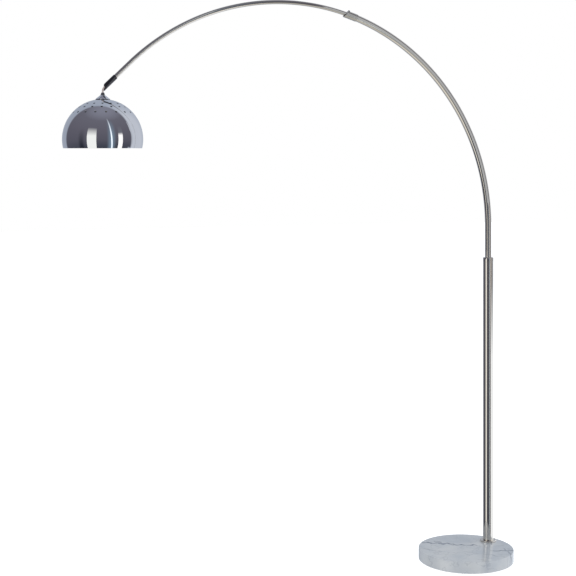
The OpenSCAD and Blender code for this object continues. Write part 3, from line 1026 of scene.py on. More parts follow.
@dataclass
class Pole:
    """Upright tube with its foot flange, its ferrule, the lead's inlet and the slack inside."""

    layout: Layout
    tube_d: float = 36.0
    wall: float = 1.6
    foot: float = 46.0
    top: float = 1004.0
    flange_d: float = 56.0
    flange_foot: float = 40.0
    flange_hole_d: float = 12.4
    ferrule_h: float = 15.0
    spigot_h: float = 18.0
    arm_bore_d: float = 22.1
    inlet_z: float = 100.0
    inlet_d: float = 10.0
    inlet_flange_d: float = 15.0
    inlet_flange_h: float = 2.0
    inlet_inner_h: float = 3.0
    lead_hole_d: float = 6.4
    lead_d: float = 6.0
    coil_foot: float = 701.0
    coil_h: float = 150.0
    coil_d: float = 26.0

    def tube(self) -> bpy.types.Object:
        """Makes the tube, drilled for the inlet, with the shading of a true cylinder."""
        pole = self.layout.pole
        r_out = self.tube_d / 2
        r_in = r_out - self.wall
        outline = rounded(
            [(r_in, self.foot), (r_out, self.foot, 0.4), (r_out, self.top, 0.4), (r_in, self.top)], 3
        )
        tube = revolve("tube", outline, pole.at, 96)
        drill = revolve(
            "drill",
            [(0, 0), (self.inlet_d / 2, 0), (self.inlet_d / 2, 2 * r_out), (0, 2 * r_out)],
            Sideways(pole.x, pole.y, self.inlet_z).at,
            32,
        )
        made = cut_away("upright_pole", tube, [drill])
        axis = pole.at(0, 0, 0)

        def round_wall(point: Vector, face: Vector) -> Vector | None:
            """Radial normals on the tube's round faces."""
            out = Vector((point.x - axis.x, point.y - axis.y, 0)).normalized()
            along = out.dot(face)
            return out * math.copysign(1, along) if abs(along) > 0.985 else None

        dress(made, NICKEL, Body.STAND, "pole_tube")
        exact_shading(made, round_wall)
        return made

    def flange(self) -> bpy.types.Object:
        """Makes the foot flange, with a soft turned edge."""
        r, low = self.flange_d / 2, self.flange_foot
        hole = self.flange_hole_d / 2
        outline = rounded(
            [(hole, low), (r, low, 0.5), (r, self.foot - 1.2, 0.8), (r - 1.6, self.foot, 0.8),
             (hole, self.foot)],
            4,
        )
        made = revolve("foot_flange", outline, self.layout.pole.at, 96)
        return dress(made, NICKEL, Body.STAND, "pole_flange")

    def ferrule(self) -> bpy.types.Object:
        """Makes the turned ferrule, with its spigot, its lip and the arm's bore."""
        r, low = self.tube_d / 2, self.top
        bore, spigot = self.arm_bore_d / 2, r - self.wall
        high = low + self.ferrule_h
        outline = rounded(
            [(bore, low - self.spigot_h), (spigot, low - self.spigot_h, 0.5), (spigot, low),
             (r + 0.3, low, 0.3), (r + 0.3, high - 1.5, 1.2), (r - 1.2, high, 0.8),
             (bore, high, 0.4)],
            4,
        )
        made = revolve("pole_top_ferrule", outline, self.layout.pole.at, 96)
        return dress(made, NICKEL, Body.STAND, "pole_ferrule")

    def grommet(self) -> bpy.types.Object:
        """Makes the inlet's rubber grommet, which hugs the round pole."""
        r_out = self.tube_d / 2
        r_in = r_out - self.wall
        hole, body, lip = self.lead_hole_d / 2, self.inlet_d / 2, self.inlet_flange_d / 2
        face = r_out + self.inlet_flange_h

        def outline(angle: float) -> Outline:
            """The lip's back follows the pole's curve."""
            reach = lip * math.cos(angle)
            seat = math.sqrt(r_out**2 - reach**2)
            return [
                (hole, r_in - self.inlet_inner_h), (body - 0.6, r_in - self.inlet_inner_h),
                (body, r_in - self.inlet_inner_h + 0.6), (body, r_out - 0.8), (lip, seat),
                (lip, face - 0.8), (lip - 0.8, face), (hole + 0.5, face), (hole, face - 0.5),
            ]

        pole = self.layout.pole
        made = revolve("inlet_rubber", outline, Sideways(pole.x, pole.y, self.inlet_z).at, 64)
        return dress(made, RUBBER, Body.STAND, "inlet_grommet")

    def coil(self) -> bpy.types.Object:
        """Winds the lead's slack inside the pole."""
        half = self.lead_d / 2
        pitch = self.lead_d + 0.2
        made = helix(
            "coiled_slack",
            self.layout.pole,
            self.coil_d / 2 - half,
            half,
            self.coil_foot + half,
            pitch,
            (self.coil_h - self.lead_d) / pitch,
            JACKET,
            10,
        )
        return dress(made, JACKET, Body.STAND, "lead_coil")

    def build(self) -> None:
        """Makes every piece of the pole."""
        self.tube()
        self.flange()
        self.ferrule()
        self.grommet()
        self.coil()


# ---------- arm ----------


@dataclass
class Arm:
    """The telescoping arm: thick and thin tubes, the collar between them and the tip's sleeve."""

    layout: Layout
    lower_d: float = 22.0
    lower_wall: float = 1.5
    lower_foot: float = 869.0
    lower_end: float = 72.0
    upper_d: float = 14.0
    upper_wall: float = 1.0
    upper_from: float = 56.0
    tip_h: float = 112.5
    setback: float = 26.0
    collar_wall: float = 1.3
    collar_back: float = 1.8
    collar_front: float = 1.4
    collar_slant: float = 25.0
    screw_r: float = 2.0
    screw_head_r: float = 3.5
    screw_head_h: float = 2.5
    sleeve_wall: float = 1.25
    sleeve_h: float = 50.0
    grommet_h: float = 6.0
    lead_hole_d: float = 6.4
    rings: int = 160

    def tube(
        self,
        name: str,
        outer: float,
        wall: float,
        start: float,
        stop: float,
        body: Body,
        node: str,
    ) -> bpy.types.Object:
        """Sweeps a round tube along the arm's line.

        Args:
            name: The piece's name.
            outer: Outer diameter, in millimetres.
            wall: Wall, in millimetres.
            start: Distance along the line where it starts.
            stop: Distance where it ends.
            body: The body it moves with.
            node: The CAD node it replaces.

        Returns:
            The tube.
        """
        arm = self.layout.arm
        rule = Rule(name)
        count = rule.size("Rings", self.rings)
        first = rule.size("Start", start * MM)
        last = rule.size("Stop", stop * MM)
        radius = rule.size("Arc radius", arm.radius * MM)
        whole = rule.size("Arc angle", arm.end)
        middle = rule.size("Arc centre", (arm.x * MM, arm.y * MM, arm.z * MM))
        girth = rule.size("Tube radius", outer / 2 * MM)
        line = rule.node("GeometryNodeMeshLine", {"Count": count}, mode="OFFSET")
        index = rule.node("GeometryNodeInputIndex")
        gaps = rule.node(MATH, (count, 1.0), operation="SUBTRACT")
        share = rule.node(MATH, (index, gaps), operation="DIVIDE")
        reach = rule.node(MATH, (last, first), operation="SUBTRACT")
        along = rule.node(MATH, (share, reach, first), operation="MULTIPLY_ADD")
        turn = rule.node(MATH, (along, radius), operation="DIVIDE")
        turn = rule.node(MATH, (turn, 0.0), operation="MAXIMUM")
        turn = rule.node(MATH, (turn, whole), operation="MINIMUM")
        bent = rule.node(MATH, (turn, radius), operation="MULTIPLY")
        straight = rule.node(MATH, (along, bent), operation="SUBTRACT")
        sine = rule.node(MATH, (turn,), operation="SINE")
        cosine = rule.node(MATH, (turn,), operation="COSINE")
        out = rule.node(MATH, (radius, cosine), operation="MULTIPLY")
        back = rule.node(MATH, (straight, sine), operation="MULTIPLY")
        x = rule.node(MATH, (out, back), operation="SUBTRACT")
        rise = rule.node(MATH, (straight, cosine), operation="MULTIPLY")
        z = rule.node(MATH, (radius, sine, rise), operation="MULTIPLY_ADD")
        place = rule.node("ShaderNodeCombineXYZ", {0: x, 2: z})
        place = rule.node("ShaderNodeVectorMath", (place, middle), operation="ADD")
        path = rule.node("GeometryNodeSetPosition", {"Geometry": line, "Position": place})
        path = rule.node("GeometryNodeMeshToCurve", (path,))
        ring = rule.node("GeometryNodeCurvePrimitiveCircle", {"Resolution": 64, "Radius": girth})
        skin = rule.node("GeometryNodeCurveToMesh", {0: path, "Profile Curve": ring})
        made = rule.grown(name, skin, NICKEL, wall=wall * MM)
        return dress(made, NICKEL, body, node)

    def collar(self) -> bpy.types.Object:
        """Makes the collar over the thick tube's end, with its slanted mouth."""
        arm = self.layout.arm
        low = arm.degrees(self.lower_end - self.collar_back)
        step = arm.degrees(self.lower_end)
        high = arm.degrees(self.lower_end + self.collar_front)
        outer = self.lower_d / 2 + self.collar_wall
        seat, bore = self.lower_d / 2, self.upper_d / 2 + 0.05
        slant = math.tan(math.radians(self.collar_slant))

        def outline(angle: float) -> Outline:
            """The mouth is shorter on the arm's upper side."""
            side = math.cos(angle)
            return [
                (seat, low), (outer - 0.5, low), (outer, low + 0.5),
                (outer, high - outer * side * slant - 0.6),
                (outer - 0.6, high - (outer - 0.6) * side * slant),
                (bore + 0.3, high - bore * side * slant), (bore, high - bore * side * slant - 0.3),
                (bore, step), (seat, step),
            ]

        made = revolve("telescope_collar", outline, arm.at, 96)
        return dress(made, SATIN, Body.LOWER, "joint_collar")

    def collar_screw(self) -> bpy.types.Object:
        """Makes the set screw: a domed head with a hexagon socket, on the collar's upper side."""
        arm = self.layout.arm
        along = arm.degrees(self.lower_end + self.collar_front / 2)
        foot, seat = self.upper_d / 2 + 0.05, self.lower_d / 2 + self.collar_wall
        r, head = self.screw_r, self.screw_head_r
        top = seat + self.screw_head_h
        turn = along / arm.radius
        out = Vector((math.cos(turn), 0, math.sin(turn)))
        ahead = Vector((-math.sin(turn), 0, math.cos(turn)))
        axis = arm.at(0, 0, along)

        def at(radius: float, angle: float, height: float) -> Vector:
            """Stands the screw out of the arm."""
            side = Vector((0, 1, 0)) * math.sin(angle) + ahead * math.cos(angle)
            return axis + (out * height + side * radius) * MM

        outline = rounded(
            [(0, foot), (r, foot), (r, seat), (head, seat), (head, top, 1.0), (1.7, top, 0.2),
             (1.5, top - 1.4), (0, top - 1.4)],
            3,
        )
        made = revolve("collar_set_screw", outline, at, 36)
        return dress(made, ZINC, Body.LOWER, "collar_screw")

    def sleeve(self) -> bpy.types.Object:
        """Makes the tip's dark sleeve, with softened ends and a mouth cut plumb."""
        arm = self.layout.arm
        end = arm.radius * arm.end
        low, high = end + self.tip_h - self.sleeve_h, end + self.tip_h
        bore = self.upper_d / 2
        outer = bore + self.sleeve_wall
        slant = -math.cos(arm.end) / math.sin(arm.end)

        def outline(angle: float) -> Outline:
            """The mouth stands plumb, so its upper lip is shorter."""
            lean = math.cos(angle) * slant
            return [
                (bore, low), (outer - 0.9, low), (outer - 0.25, low + 0.3), (outer, low + 1.0),
                (outer, high - outer * lean - 0.7), (outer - 0.2, high - outer * lean - 0.2),
                (outer - 0.5, high - (outer - 0.5) * lean), (bore + 0.2, high - bore * lean),
                (bore, high - bore * lean - 0.2),
            ]

        made = revolve("tip_black_sleeve", outline, arm.at, 96)
        return dress(made, BLACK_NICKEL, Body.UPPER, "tip_sleeve")

    def tip_rubber(self) -> bpy.types.Object:
        """Makes the rubber grommet inside the sleeve."""
        arm = self.layout.arm
        low = arm.radius * arm.end + self.tip_h - self.setback
        high = low + self.grommet_h
        hole, r = self.lead_hole_d / 2, self.upper_d / 2
        outline = rounded([(hole, low), (r, low), (r, high, 0.6), (hole, high, 0.8)], 3)
        made = revolve("tip_rubber_grommet", outline, arm.at, 64)
        return dress(made, RUBBER, Body.UPPER, "tip_grommet")

    def build(self) -> None:
        """Makes every piece of the arm."""
        arm = self.layout.arm
        rise, joint = self.lower_foot - arm.z, arm.degrees(self.lower_end)
        self.tube(
            "thick_arm_tube", self.lower_d, self.lower_wall, rise, joint, Body.LOWER, "lower_tube"
        )
        inner, tip = arm.degrees(self.upper_from), arm.radius * arm.end + self.tip_h - self.setback
        self.tube("thin_arm_tube", self.upper_d, self.upper_wall, inner, tip, Body.UPPER, "upper_tube")
        self.collar()
        self.collar_screw()
        self.sleeve()
        self.tip_rubber()


@dataclass
class HangingLead:
    """Free stretch of lead from the tip's grommet over the lip and down to the cord grip."""

    layout: Layout
    lead_d: float = 6.0
    tip_h: float = 112.5
    grip_drop: float = 16.0
    start_s: float = 19.9
    overhang: float = 4.5
    sides: int = 20
    bend_from: int = 12
    bend_to: int = -4

    def corners(self) -> list[tuple[float, float]]:
        """Gives the route from the mouth's middle: (outwards from the pole, up)."""
        end = self.layout.arm.end
        out, up = math.sin(end), math.cos(end)
        straight = [(-s * out, -s * up) for s in (self.start_s, 14, 7.6, 1.4)]
        side = self.overhang
        over = [(1, -1.5), (2.5, -4), (3.6, -6.5), (side - 0.2, -9), (side, -12)]
        return [*straight, *over, (side, 0.1 - self.grip_drop)]

    def route(self, fineness: int = 4) -> list[Vector]:
        """Gives a smooth line through the route's points, in metres.

        Args:
            fineness: Pieces between two of the route's points.

        Returns:
            The line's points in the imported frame.
        """
        arm = self.layout.arm
        mouth = arm.at(0, 0, arm.radius * arm.end + self.tip_h)
        knots = [Vector((mouth.x - x * MM, mouth.y, mouth.z + z * MM)) for x, z in self.corners()]
        ends = [knots[0] * 2 - knots[1], *knots, knots[-1] * 2 - knots[-2]]
        line = []
        for i in range(1, len(ends) - 2):
            a, b, c, d = ends[i - 1 : i + 3]
            steep, bow, twist = c - a, 2 * a - 5 * b + 4 * c - d, 3 * b - a - 3 * c + d
            for k in range(fineness):
                t = k / fineness
                line.append((2 * b + steep * t + bow * t**2 + twist * t**3) / 2)
        return [*line, knots[-1]]

    def build(self) -> bpy.types.Object:
        """Makes the lead as a tube on its route."""
        line = self.route()
        r = self.lead_d / 2 * MM
        points, faces = [], []
        for i, here in enumerate(line):
            run = (line[min(i + 1, len(line) - 1)] - line[max(i - 1, 0)]).normalized()
            side = Vector((0, 1, 0))
            across = run.cross(side)
            for k in range(self.sides):
                a = TURN * k / self.sides
                points.append(here + (side * math.cos(a) + across * math.sin(a)) * r)
        for i in range(len(line) - 1):
            for k in range(self.sides):
                j = (k + 1) % self.sides
                low, high = i * self.sides, (i + 1) * self.sides
                faces.append((low + k, low + j, high + j, high + k))
        faces.append(tuple(range(self.sides)))
        faces.append(tuple(reversed(range(len(points) - self.sides, len(points)))))
        mesh = bpy.data.meshes.new("hanging_lead")
        mesh.from_pydata(points, [], faces)
        work = bmesh.new()
        work.from_mesh(mesh)
        bmesh.ops.recalc_face_normals(work, faces=work.faces)
        work.to_mesh(mesh)
        work.free()
        outwards(mesh)
        made = shown("hanging_lead", mesh)
        made.data.materials.append(JACKET.material())
        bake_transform(made)
        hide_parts("lead_drop")
        return made


@dataclass
class InnerLead:
    """Lead inside the cord grip and the nipple, up to the grip's mouth."""

    layout: Layout
    lead_d: float = 6.0
    foot: float = 1529.55
    bend: float = 1.5

    def build(self) -> bpy.types.Object:
        """Turns the lead, with a pointed top under the stretch above."""
        r, top = self.lead_d / 2, self.layout.grip_top
        steps = [self.foot + (top - self.bend - self.foot) * k / 8 for k in range(9)]
        outline: Outline = [(0, self.foot)] + [(r, z) for z in steps] + [(0.05, top), (0, top)]
        made = revolve("lead_through_grip", outline, self.layout.shade.at, 24)
        made.data.materials.append(JACKET.material())
        shade = self.layout.shade
        start, end = shade.at(0, 0, top), shade.at(0, 0, top - self.bend)
        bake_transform(made)
        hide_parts("lead_tail")
        LOG.info("lead_through_grip: bends over %.1f mm", self.bend)
        return made


# ---------- shade ----------


@dataclass
class Dome:
    """Mirror dome with its vents, its cap, the black gasket ring that paints the shadow under the cap's
    foot, and the cord grip.
    """

    layout: Layout
    radius: float = 125.0
    wall: float = 0.8
    rim_drop: float = 28.0
    vent_d: float = 7.0
    crown_hole: float = 10.4
    grip_h: float = 8.0
    grip_top_d: float = 9.5
    cap_h: float = 12.0
    cap_d: float = 45.0
    cap_top_d: float = 15.0
    cap_wall: float = 1.2
    cap_lift: float = -1.0
    shadow_gasket_w: float = 3.0
    cutter_h: float = 8.0
    rows: tuple[tuple[float, int, float], ...] = ((62, 14, 0), (53, 16, 8), (42, 18, 4))
    lead_bore_r: float = 3.2
    thread_r: float = 5.0
    flutes: int = 18
    flute_depth: float = 0.25

    @property
    def top(self) -> float:
        """Height of the dome's crown."""
        return self.layout.grip_top - self.grip_h - self.cap_h

    @property
    def middle(self) -> float:
        """Height of the sphere's middle."""
        return self.top - self.radius

    def bell(self) -> bpy.types.Object:
        steps = 72
        walls = []
        for r in (self.radius, self.radius - self.wall):
            top = math.acos(self.crown_hole / 2 / r)
            low = -math.asin(self.rim_drop / r)
            rises = [top + (low - top) * k / steps for k in range(steps + 1)]
            walls.append([(r * math.cos(rise), r * math.sin(rise)) for rise in rises])
        outside, inside = walls
        x, z = outside[-1]
        rim = [(x, z + 0.25), (x - 0.22, z)]
        outline = outside[:-1] + rim + inside[::-1]
        return revolve("bell", outline, self.layout.shade.raised(self.middle).at, 224)

    def dome(self) -> bpy.types.Object:
        """Pierces the shell with the rows of vents and gives it a true sphere's shading."""
        rule = Rule("vent_rows")
        middle = self.layout.shade.at(0, 0, self.middle)
        centre = rule.size("Sphere middle", tuple(middle))
        radius = rule.size("Sphere radius", self.radius * MM)
        hole = rule.size("Vent radius", self.vent_d / 2 * MM)
        depth = rule.size("Cutter length", self.cutter_h * MM)
        cutter = add(
            rule.tree,
            "GeometryNodeMeshCylinder",
            {"Vertices": 28, "Radius": hole, "Depth": depth},
            fill_type="TRIANGLE_FAN",
        ).outputs["Mesh"]
        index = rule.node("GeometryNodeInputIndex")
        every = add(rule.tree, "GeometryNodeJoinGeometry")
        for number, (rise, count, turn) in enumerate(self.rows, 1):
            high = rule.size(f"Row {number} rise", math.radians(rise))
            holes = rule.size(f"Row {number} vents", count)
            start = rule.size(f"Row {number} turn", math.radians(turn))
            share = rule.node(MATH, (index, holes), operation="DIVIDE")
            bearing = rule.node(MATH, (share, TURN, start), operation="MULTIPLY_ADD")
            out = rule.node(MATH, (high,), operation="COSINE")
            cosine = rule.node(MATH, (bearing,), operation="COSINE")
            sine = rule.node(MATH, (bearing,), operation="SINE")
            x = rule.node(MATH, (out, cosine), operation="MULTIPLY")
            y = rule.node(MATH, (out, sine), operation="MULTIPLY")
            z = rule.node(MATH, (high,), operation="SINE")
            way = rule.node("ShaderNodeCombineXYZ", (x, y, z))
            spot = rule.node("ShaderNodeVectorMath", {0: way, "Scale": radius}, operation="SCALE")
            dots = rule.node("GeometryNodePoints", {"Count": holes, "Position": spot})
            here = rule.node("GeometryNodeInputPosition")
            lean = rule.node("FunctionNodeAlignRotationToVector", {"Vector": here}, axis="Z")
            row = rule.node(
                "GeometryNodeInstanceOnPoints",
                {"Points": dots, "Instance": cutter, "Rotation": lean},
            )
            rule.tree.links.new(row, every.inputs[0])
        moved = rule.node(
            "GeometryNodeTransform", {"Geometry": every.outputs[0], "Translation": centre}
        )
        solid = rule.node("GeometryNodeRealizeInstances", (moved,))
        pierced = rule.node(
            "GeometryNodeMeshBoolean",
            {"Mesh 1": rule.mesh(), "Mesh 2": solid},
            operation="DIFFERENCE",
            solver="EXACT",
        )
        made = rule.grown("perforated_dome", pierced, CHROME, on=self.bell())

        def round_wall(point: Vector, face: Vector) -> Vector | None:
            """Radial normals on the sphere's two faces."""
            out = (point - middle).normalized()
            along = out.dot(face)
            return out * math.copysign(1, along) if abs(along) > 0.985 else None

        dress(made, CHROME, Body.SHADE, "shade_dome")
        exact_shading(made, round_wall)
        return made

    def cap(self) -> bpy.types.Object:
        """Turns the conical cap, open below, with a thin foot."""
        r, top = self.cap_d / 2, self.cap_top_d / 2
        lift, high, wall = self.cap_lift, self.cap_h, self.cap_wall
        outline = rounded(
            [(self.crown_hole / 2, high), (top, high, 0.8), (r, lift + 1, 0.5), (r, lift, 0.15),
             (r - wall, lift), (r - wall, lift + 1), (top - wall / 2, high - wall),
             (self.crown_hole / 2, high - wall)],
            5,
        )
        made = revolve("conical_cap", outline, self.layout.shade.raised(self.top).at, 128)
        return dress(made, CHROME, Body.SHADE, "shade_cap")

    def gasket(self) -> bpy.types.Object:
        """Turns the thin black ring between the cap's foot and the dome. Its black stands for the shadow
        line in the gap under the cap's foot: a painted shadow on a real rubber ring.
        """
        r, low = self.cap_d / 2, self.cap_d / 2 - self.shadow_gasket_w
        roof = self.radius + self.cap_lift
        seat = [low + self.shadow_gasket_w * k / 6 for k in range(7)]
        outline: Outline = [(x, math.sqrt(self.radius**2 - x**2) + 0.02) for x in seat]
        outline += [(r, roof - 0.15), (r - 0.15, roof), (low, roof)]
        made = revolve("cap_gasket_painted_shadow", outline, self.layout.shade.raised(self.middle).at, 96)
        return dress(made, RUBBER, Body.SHADE, "cap_gasket")

    def grip(self) -> bpy.types.Object:
        """Turns the tapered cord grip, fluted all round for the fingers."""
        low, high = self.cap_top_d / 2 - 0.5, self.grip_top_d / 2
        bore, thread, tall = self.lead_bore_r, self.thread_r, self.grip_h

        def outline(angle: float) -> Outline:
            """Shallow flutes that run out towards both ends."""
            flute = self.flute_depth * (1 + math.cos(self.flutes * angle)) / 2
            side = [(low, 0.3, 0.0), (low, 1.2, 0.0)]
            side += [(low + (high - low) * (h / tall), h, flute) for h in (2.0, 4.0, 6.0)]
            side += [(high + 0.1, tall - 0.9, 0.0), (high - 0.5, tall, 0.0)]
            rim: Outline = [(r - cut, h) for r, h, cut in side]
            inside = [(bore + 0.4, tall), (bore, tall - 0.4), (bore, tall / 2), (thread, tall / 2)]
            return [(thread, 0), (low - 0.3, 0)] + rim + inside

        place = self.layout.shade.raised(self.top + self.cap_h)
        made = revolve("cord_grip_nut", outline, place.at, 180)
        return dress(made, GRIP_PLASTIC, Body.SHADE, "cord_grip")

    def build(self) -> None:
        """Makes every outer piece of the shade."""
        self.dome()
        self.cap()
        self.gasket()
        self.grip()


@dataclass
class Holder:
    """Lamp holder and bulb inside the dome."""

    layout: Layout
    dome_middle: float
    dome_inner: float = 124.2
    spread_r: float = 15.0
    spread_h: float = 1.5
    nut_h: float = 4.0
    top_h: float = 20.0
    low_h: float = 34.0
    outer_d: float = 39.0
    wall: float = 2.5
    neck_d: float = 20.0
    neck_h: float = 8.0
    nipple_d: float = 10.0
    nipple_bore: float = 7.0
    nipple_engage: float = 12.0
    nipple_rise: float = 141.0
    block_h: float = 12.0
    contact_drop: float = 2.5
    button_h: float = 2.0
    cap_d: float = 26.4
    cap_h: float = 23.5
    bulb_d: float = 60.0
    bulb_h: float = 104.0
    bulb_wall: float = 1.0
    bulb_waist: float = 2.4
    flutes: int = 36
    flute_depth: float = 0.35
    nipple_depth: float = 0.5
    nipple_ridge_r: float = 0.48
    nipple_pitch: float = 1.5
    cap_depth: float = 0.9
    cap_ridge_r: float = 0.88
    cap_pitch: float = 3.6
    cap_turns: float = 3.6

    @property
    def top(self) -> float:
        """Height of the holder's top, under the nut."""
        spread = self.dome_middle + math.sqrt(self.dome_inner**2 - self.spread_r**2)
        return spread - self.spread_h - self.nut_h

    @property
    def seam(self) -> float:
        """Height of the seam between the holder's two shells."""
        return self.top - self.top_h

    @property
    def bulb_top(self) -> float:
        """Height of the bulb's contact."""
        return self.seam - self.block_h - self.contact_drop

    @property
    def cap_foot(self) -> float:
        """Height where the bulb's cap meets its glass."""
        return self.bulb_top - self.button_h - self.cap_h

    def nipple(self) -> bpy.types.Object:
        """Makes the hollow nipple, with the thread wound on it."""
        shade = self.layout.shade
        low, high = self.top - self.nipple_engage, self.dome_middle + self.nipple_rise
        core = self.nipple_d / 2 - self.nipple_depth
        outline = rounded(
            [(self.nipple_bore / 2, low), (core, low), (core, high), (self.nipple_bore / 2, high)]
        )
        tube = revolve("core", outline, shade.at, 48)
        pitch = self.nipple_pitch
        turns = (high - low - 2) / pitch
        thread = helix("ridge", shade, core, self.nipple_ridge_r, low + 1, pitch, turns, BRASS, 6)
        made = joined("threaded_nipple", tube, thread)
        return dress(made, BRASS, Body.SHADE, "nipple")

    def shell_top(self) -> bpy.types.Object:
        """Turns the holder's top shell: a threaded neck on a sloping shoulder."""
        r, neck, bore = self.outer_d / 2, self.neck_d / 2, self.nipple_d / 2
        tall = self.top_h
        under = tall - self.neck_h - self.wall
        outline = rounded(
            [(bore, under), (neck - self.wall, under), (r - self.wall, 2), (r - self.wall, 0),
             (r, 0, 0.3), (r, 3, 2.0), (neck + 1, tall - self.neck_h, 1.0),
             (neck, tall - self.neck_h + 1, 0.5), (neck, tall, 0.8), (bore, tall)],
            5,
        )
        made = revolve("holder_top_shell", outline, self.layout.shade.raised(self.seam).at, 96)
        return dress(made, HOLDER_PLASTIC, Body.SHADE, "holder_top")

    def shell_low(self) -> bpy.types.Object:
        """Turns the holder's lower shell, fluted for the fingers."""
        r, inner, tall = self.outer_d / 2, self.outer_d / 2 - self.wall, self.low_h

        def outline(angle: float) -> Outline:
            """Flutes fade out near both ends."""
            flute = self.flute_depth * (1 + math.cos(self.flutes * angle)) / 2
            return [
                (inner, 0.6), (inner + 0.6, 0), (r - 0.6, 0), (r, 0.6), (r, 3), (r - flute, 5),
                (r - flute, tall - 7), (r, tall - 5), (r, tall - 0.3), (r - 0.3, tall),
                (inner, tall),
            ]

        place = self.layout.shade.raised(self.seam - self.low_h)
        made = revolve("holder_lower_shell", outline, place.at, 288)
        return dress(made, HOLDER_PLASTIC, Body.SHADE, "holder_shell")

    def bulb_cap(self) -> bpy.types.Object:
        """Makes the bulb's screw cap: a rolled shell with a round thread and a sloping end."""
        r, high = self.cap_d / 2, self.cap_h
        core = r - self.cap_depth
        outline = rounded(
            [(0, 0), (r, 0, 0.3), (r, 2.5, 0.3), (core, 3.2), (core, high - 4, 0.6), (7, high, 0.6),
             (0, high)],
            3,
        )
        shade, foot = self.layout.shade, self.cap_foot + 4.5
        shell = revolve("shell", outline, shade.raised(self.cap_foot).at, 96)
        pitch, turns = self.cap_pitch, self.cap_turns
        thread = helix("ridge", shade, core, self.cap_ridge_r, foot, pitch, turns, CAP_METAL, 10)
        made = joined("bulb_screw_cap", shell, thread)
        return dress(made, CAP_METAL, Body.SHADE, "bulb_cap")

    def bulb_glass(self) -> bpy.types.Object:
        """Turns the bulb's glass: a sphere that flows into its neck, open at the cap."""
        r, neck = self.bulb_d / 2, self.cap_d / 2
        middle = self.bulb_top - self.bulb_h + r

        def skin(inset: float) -> Outline:
            """One face of the glass, from the crown up to the neck."""
            ball, end = r - inset, neck - inset
            part: Outline = []
            for k in range(41):
                rise = math.radians(-90 + 130 * k / 40)
                part.append((ball * math.cos(rise), middle + ball * math.sin(rise)))
            width, foot = part[-1]
            for k in range(1, 13):
                t = k / 12
                waist = self.bulb_waist * t * (1 - t) ** 2
                part.append((width + (end - width) * t - waist, foot + (self.cap_foot - foot) * t))
            return part

        outline = skin(0.0) + skin(self.bulb_wall)[::-1]
        made = revolve("bulb_frosted_glass", outline, self.layout.shade.at, 96)
        return dress(made, FROST, Body.SHADE, "bulb_glass")

    def build(self) -> None:
        """Makes every piece of the holder and the bulb that shows."""
        self.nipple()
        self.shell_top()
        self.shell_low()
        self.bulb_cap()
        self.bulb_glass()


# ---------- studio ----------


@dataclass(frozen=True)
class Card:
    """An upright light panel that only mirrors see, in metres: two foot corners and two heights.

    Its top fades out over fade, its sides over bar as a share of its half width, and its head
    stands to the side of its foot by lean.
    """

    name: str
    start: tuple[float, float]
    end: tuple[float, float]
    low: float
    high: float
    colour: str
    strength: float
    fade: float = 0.0
    bar: float = 0.0
    lean: tuple[float, float] = (0.0, 0.0)


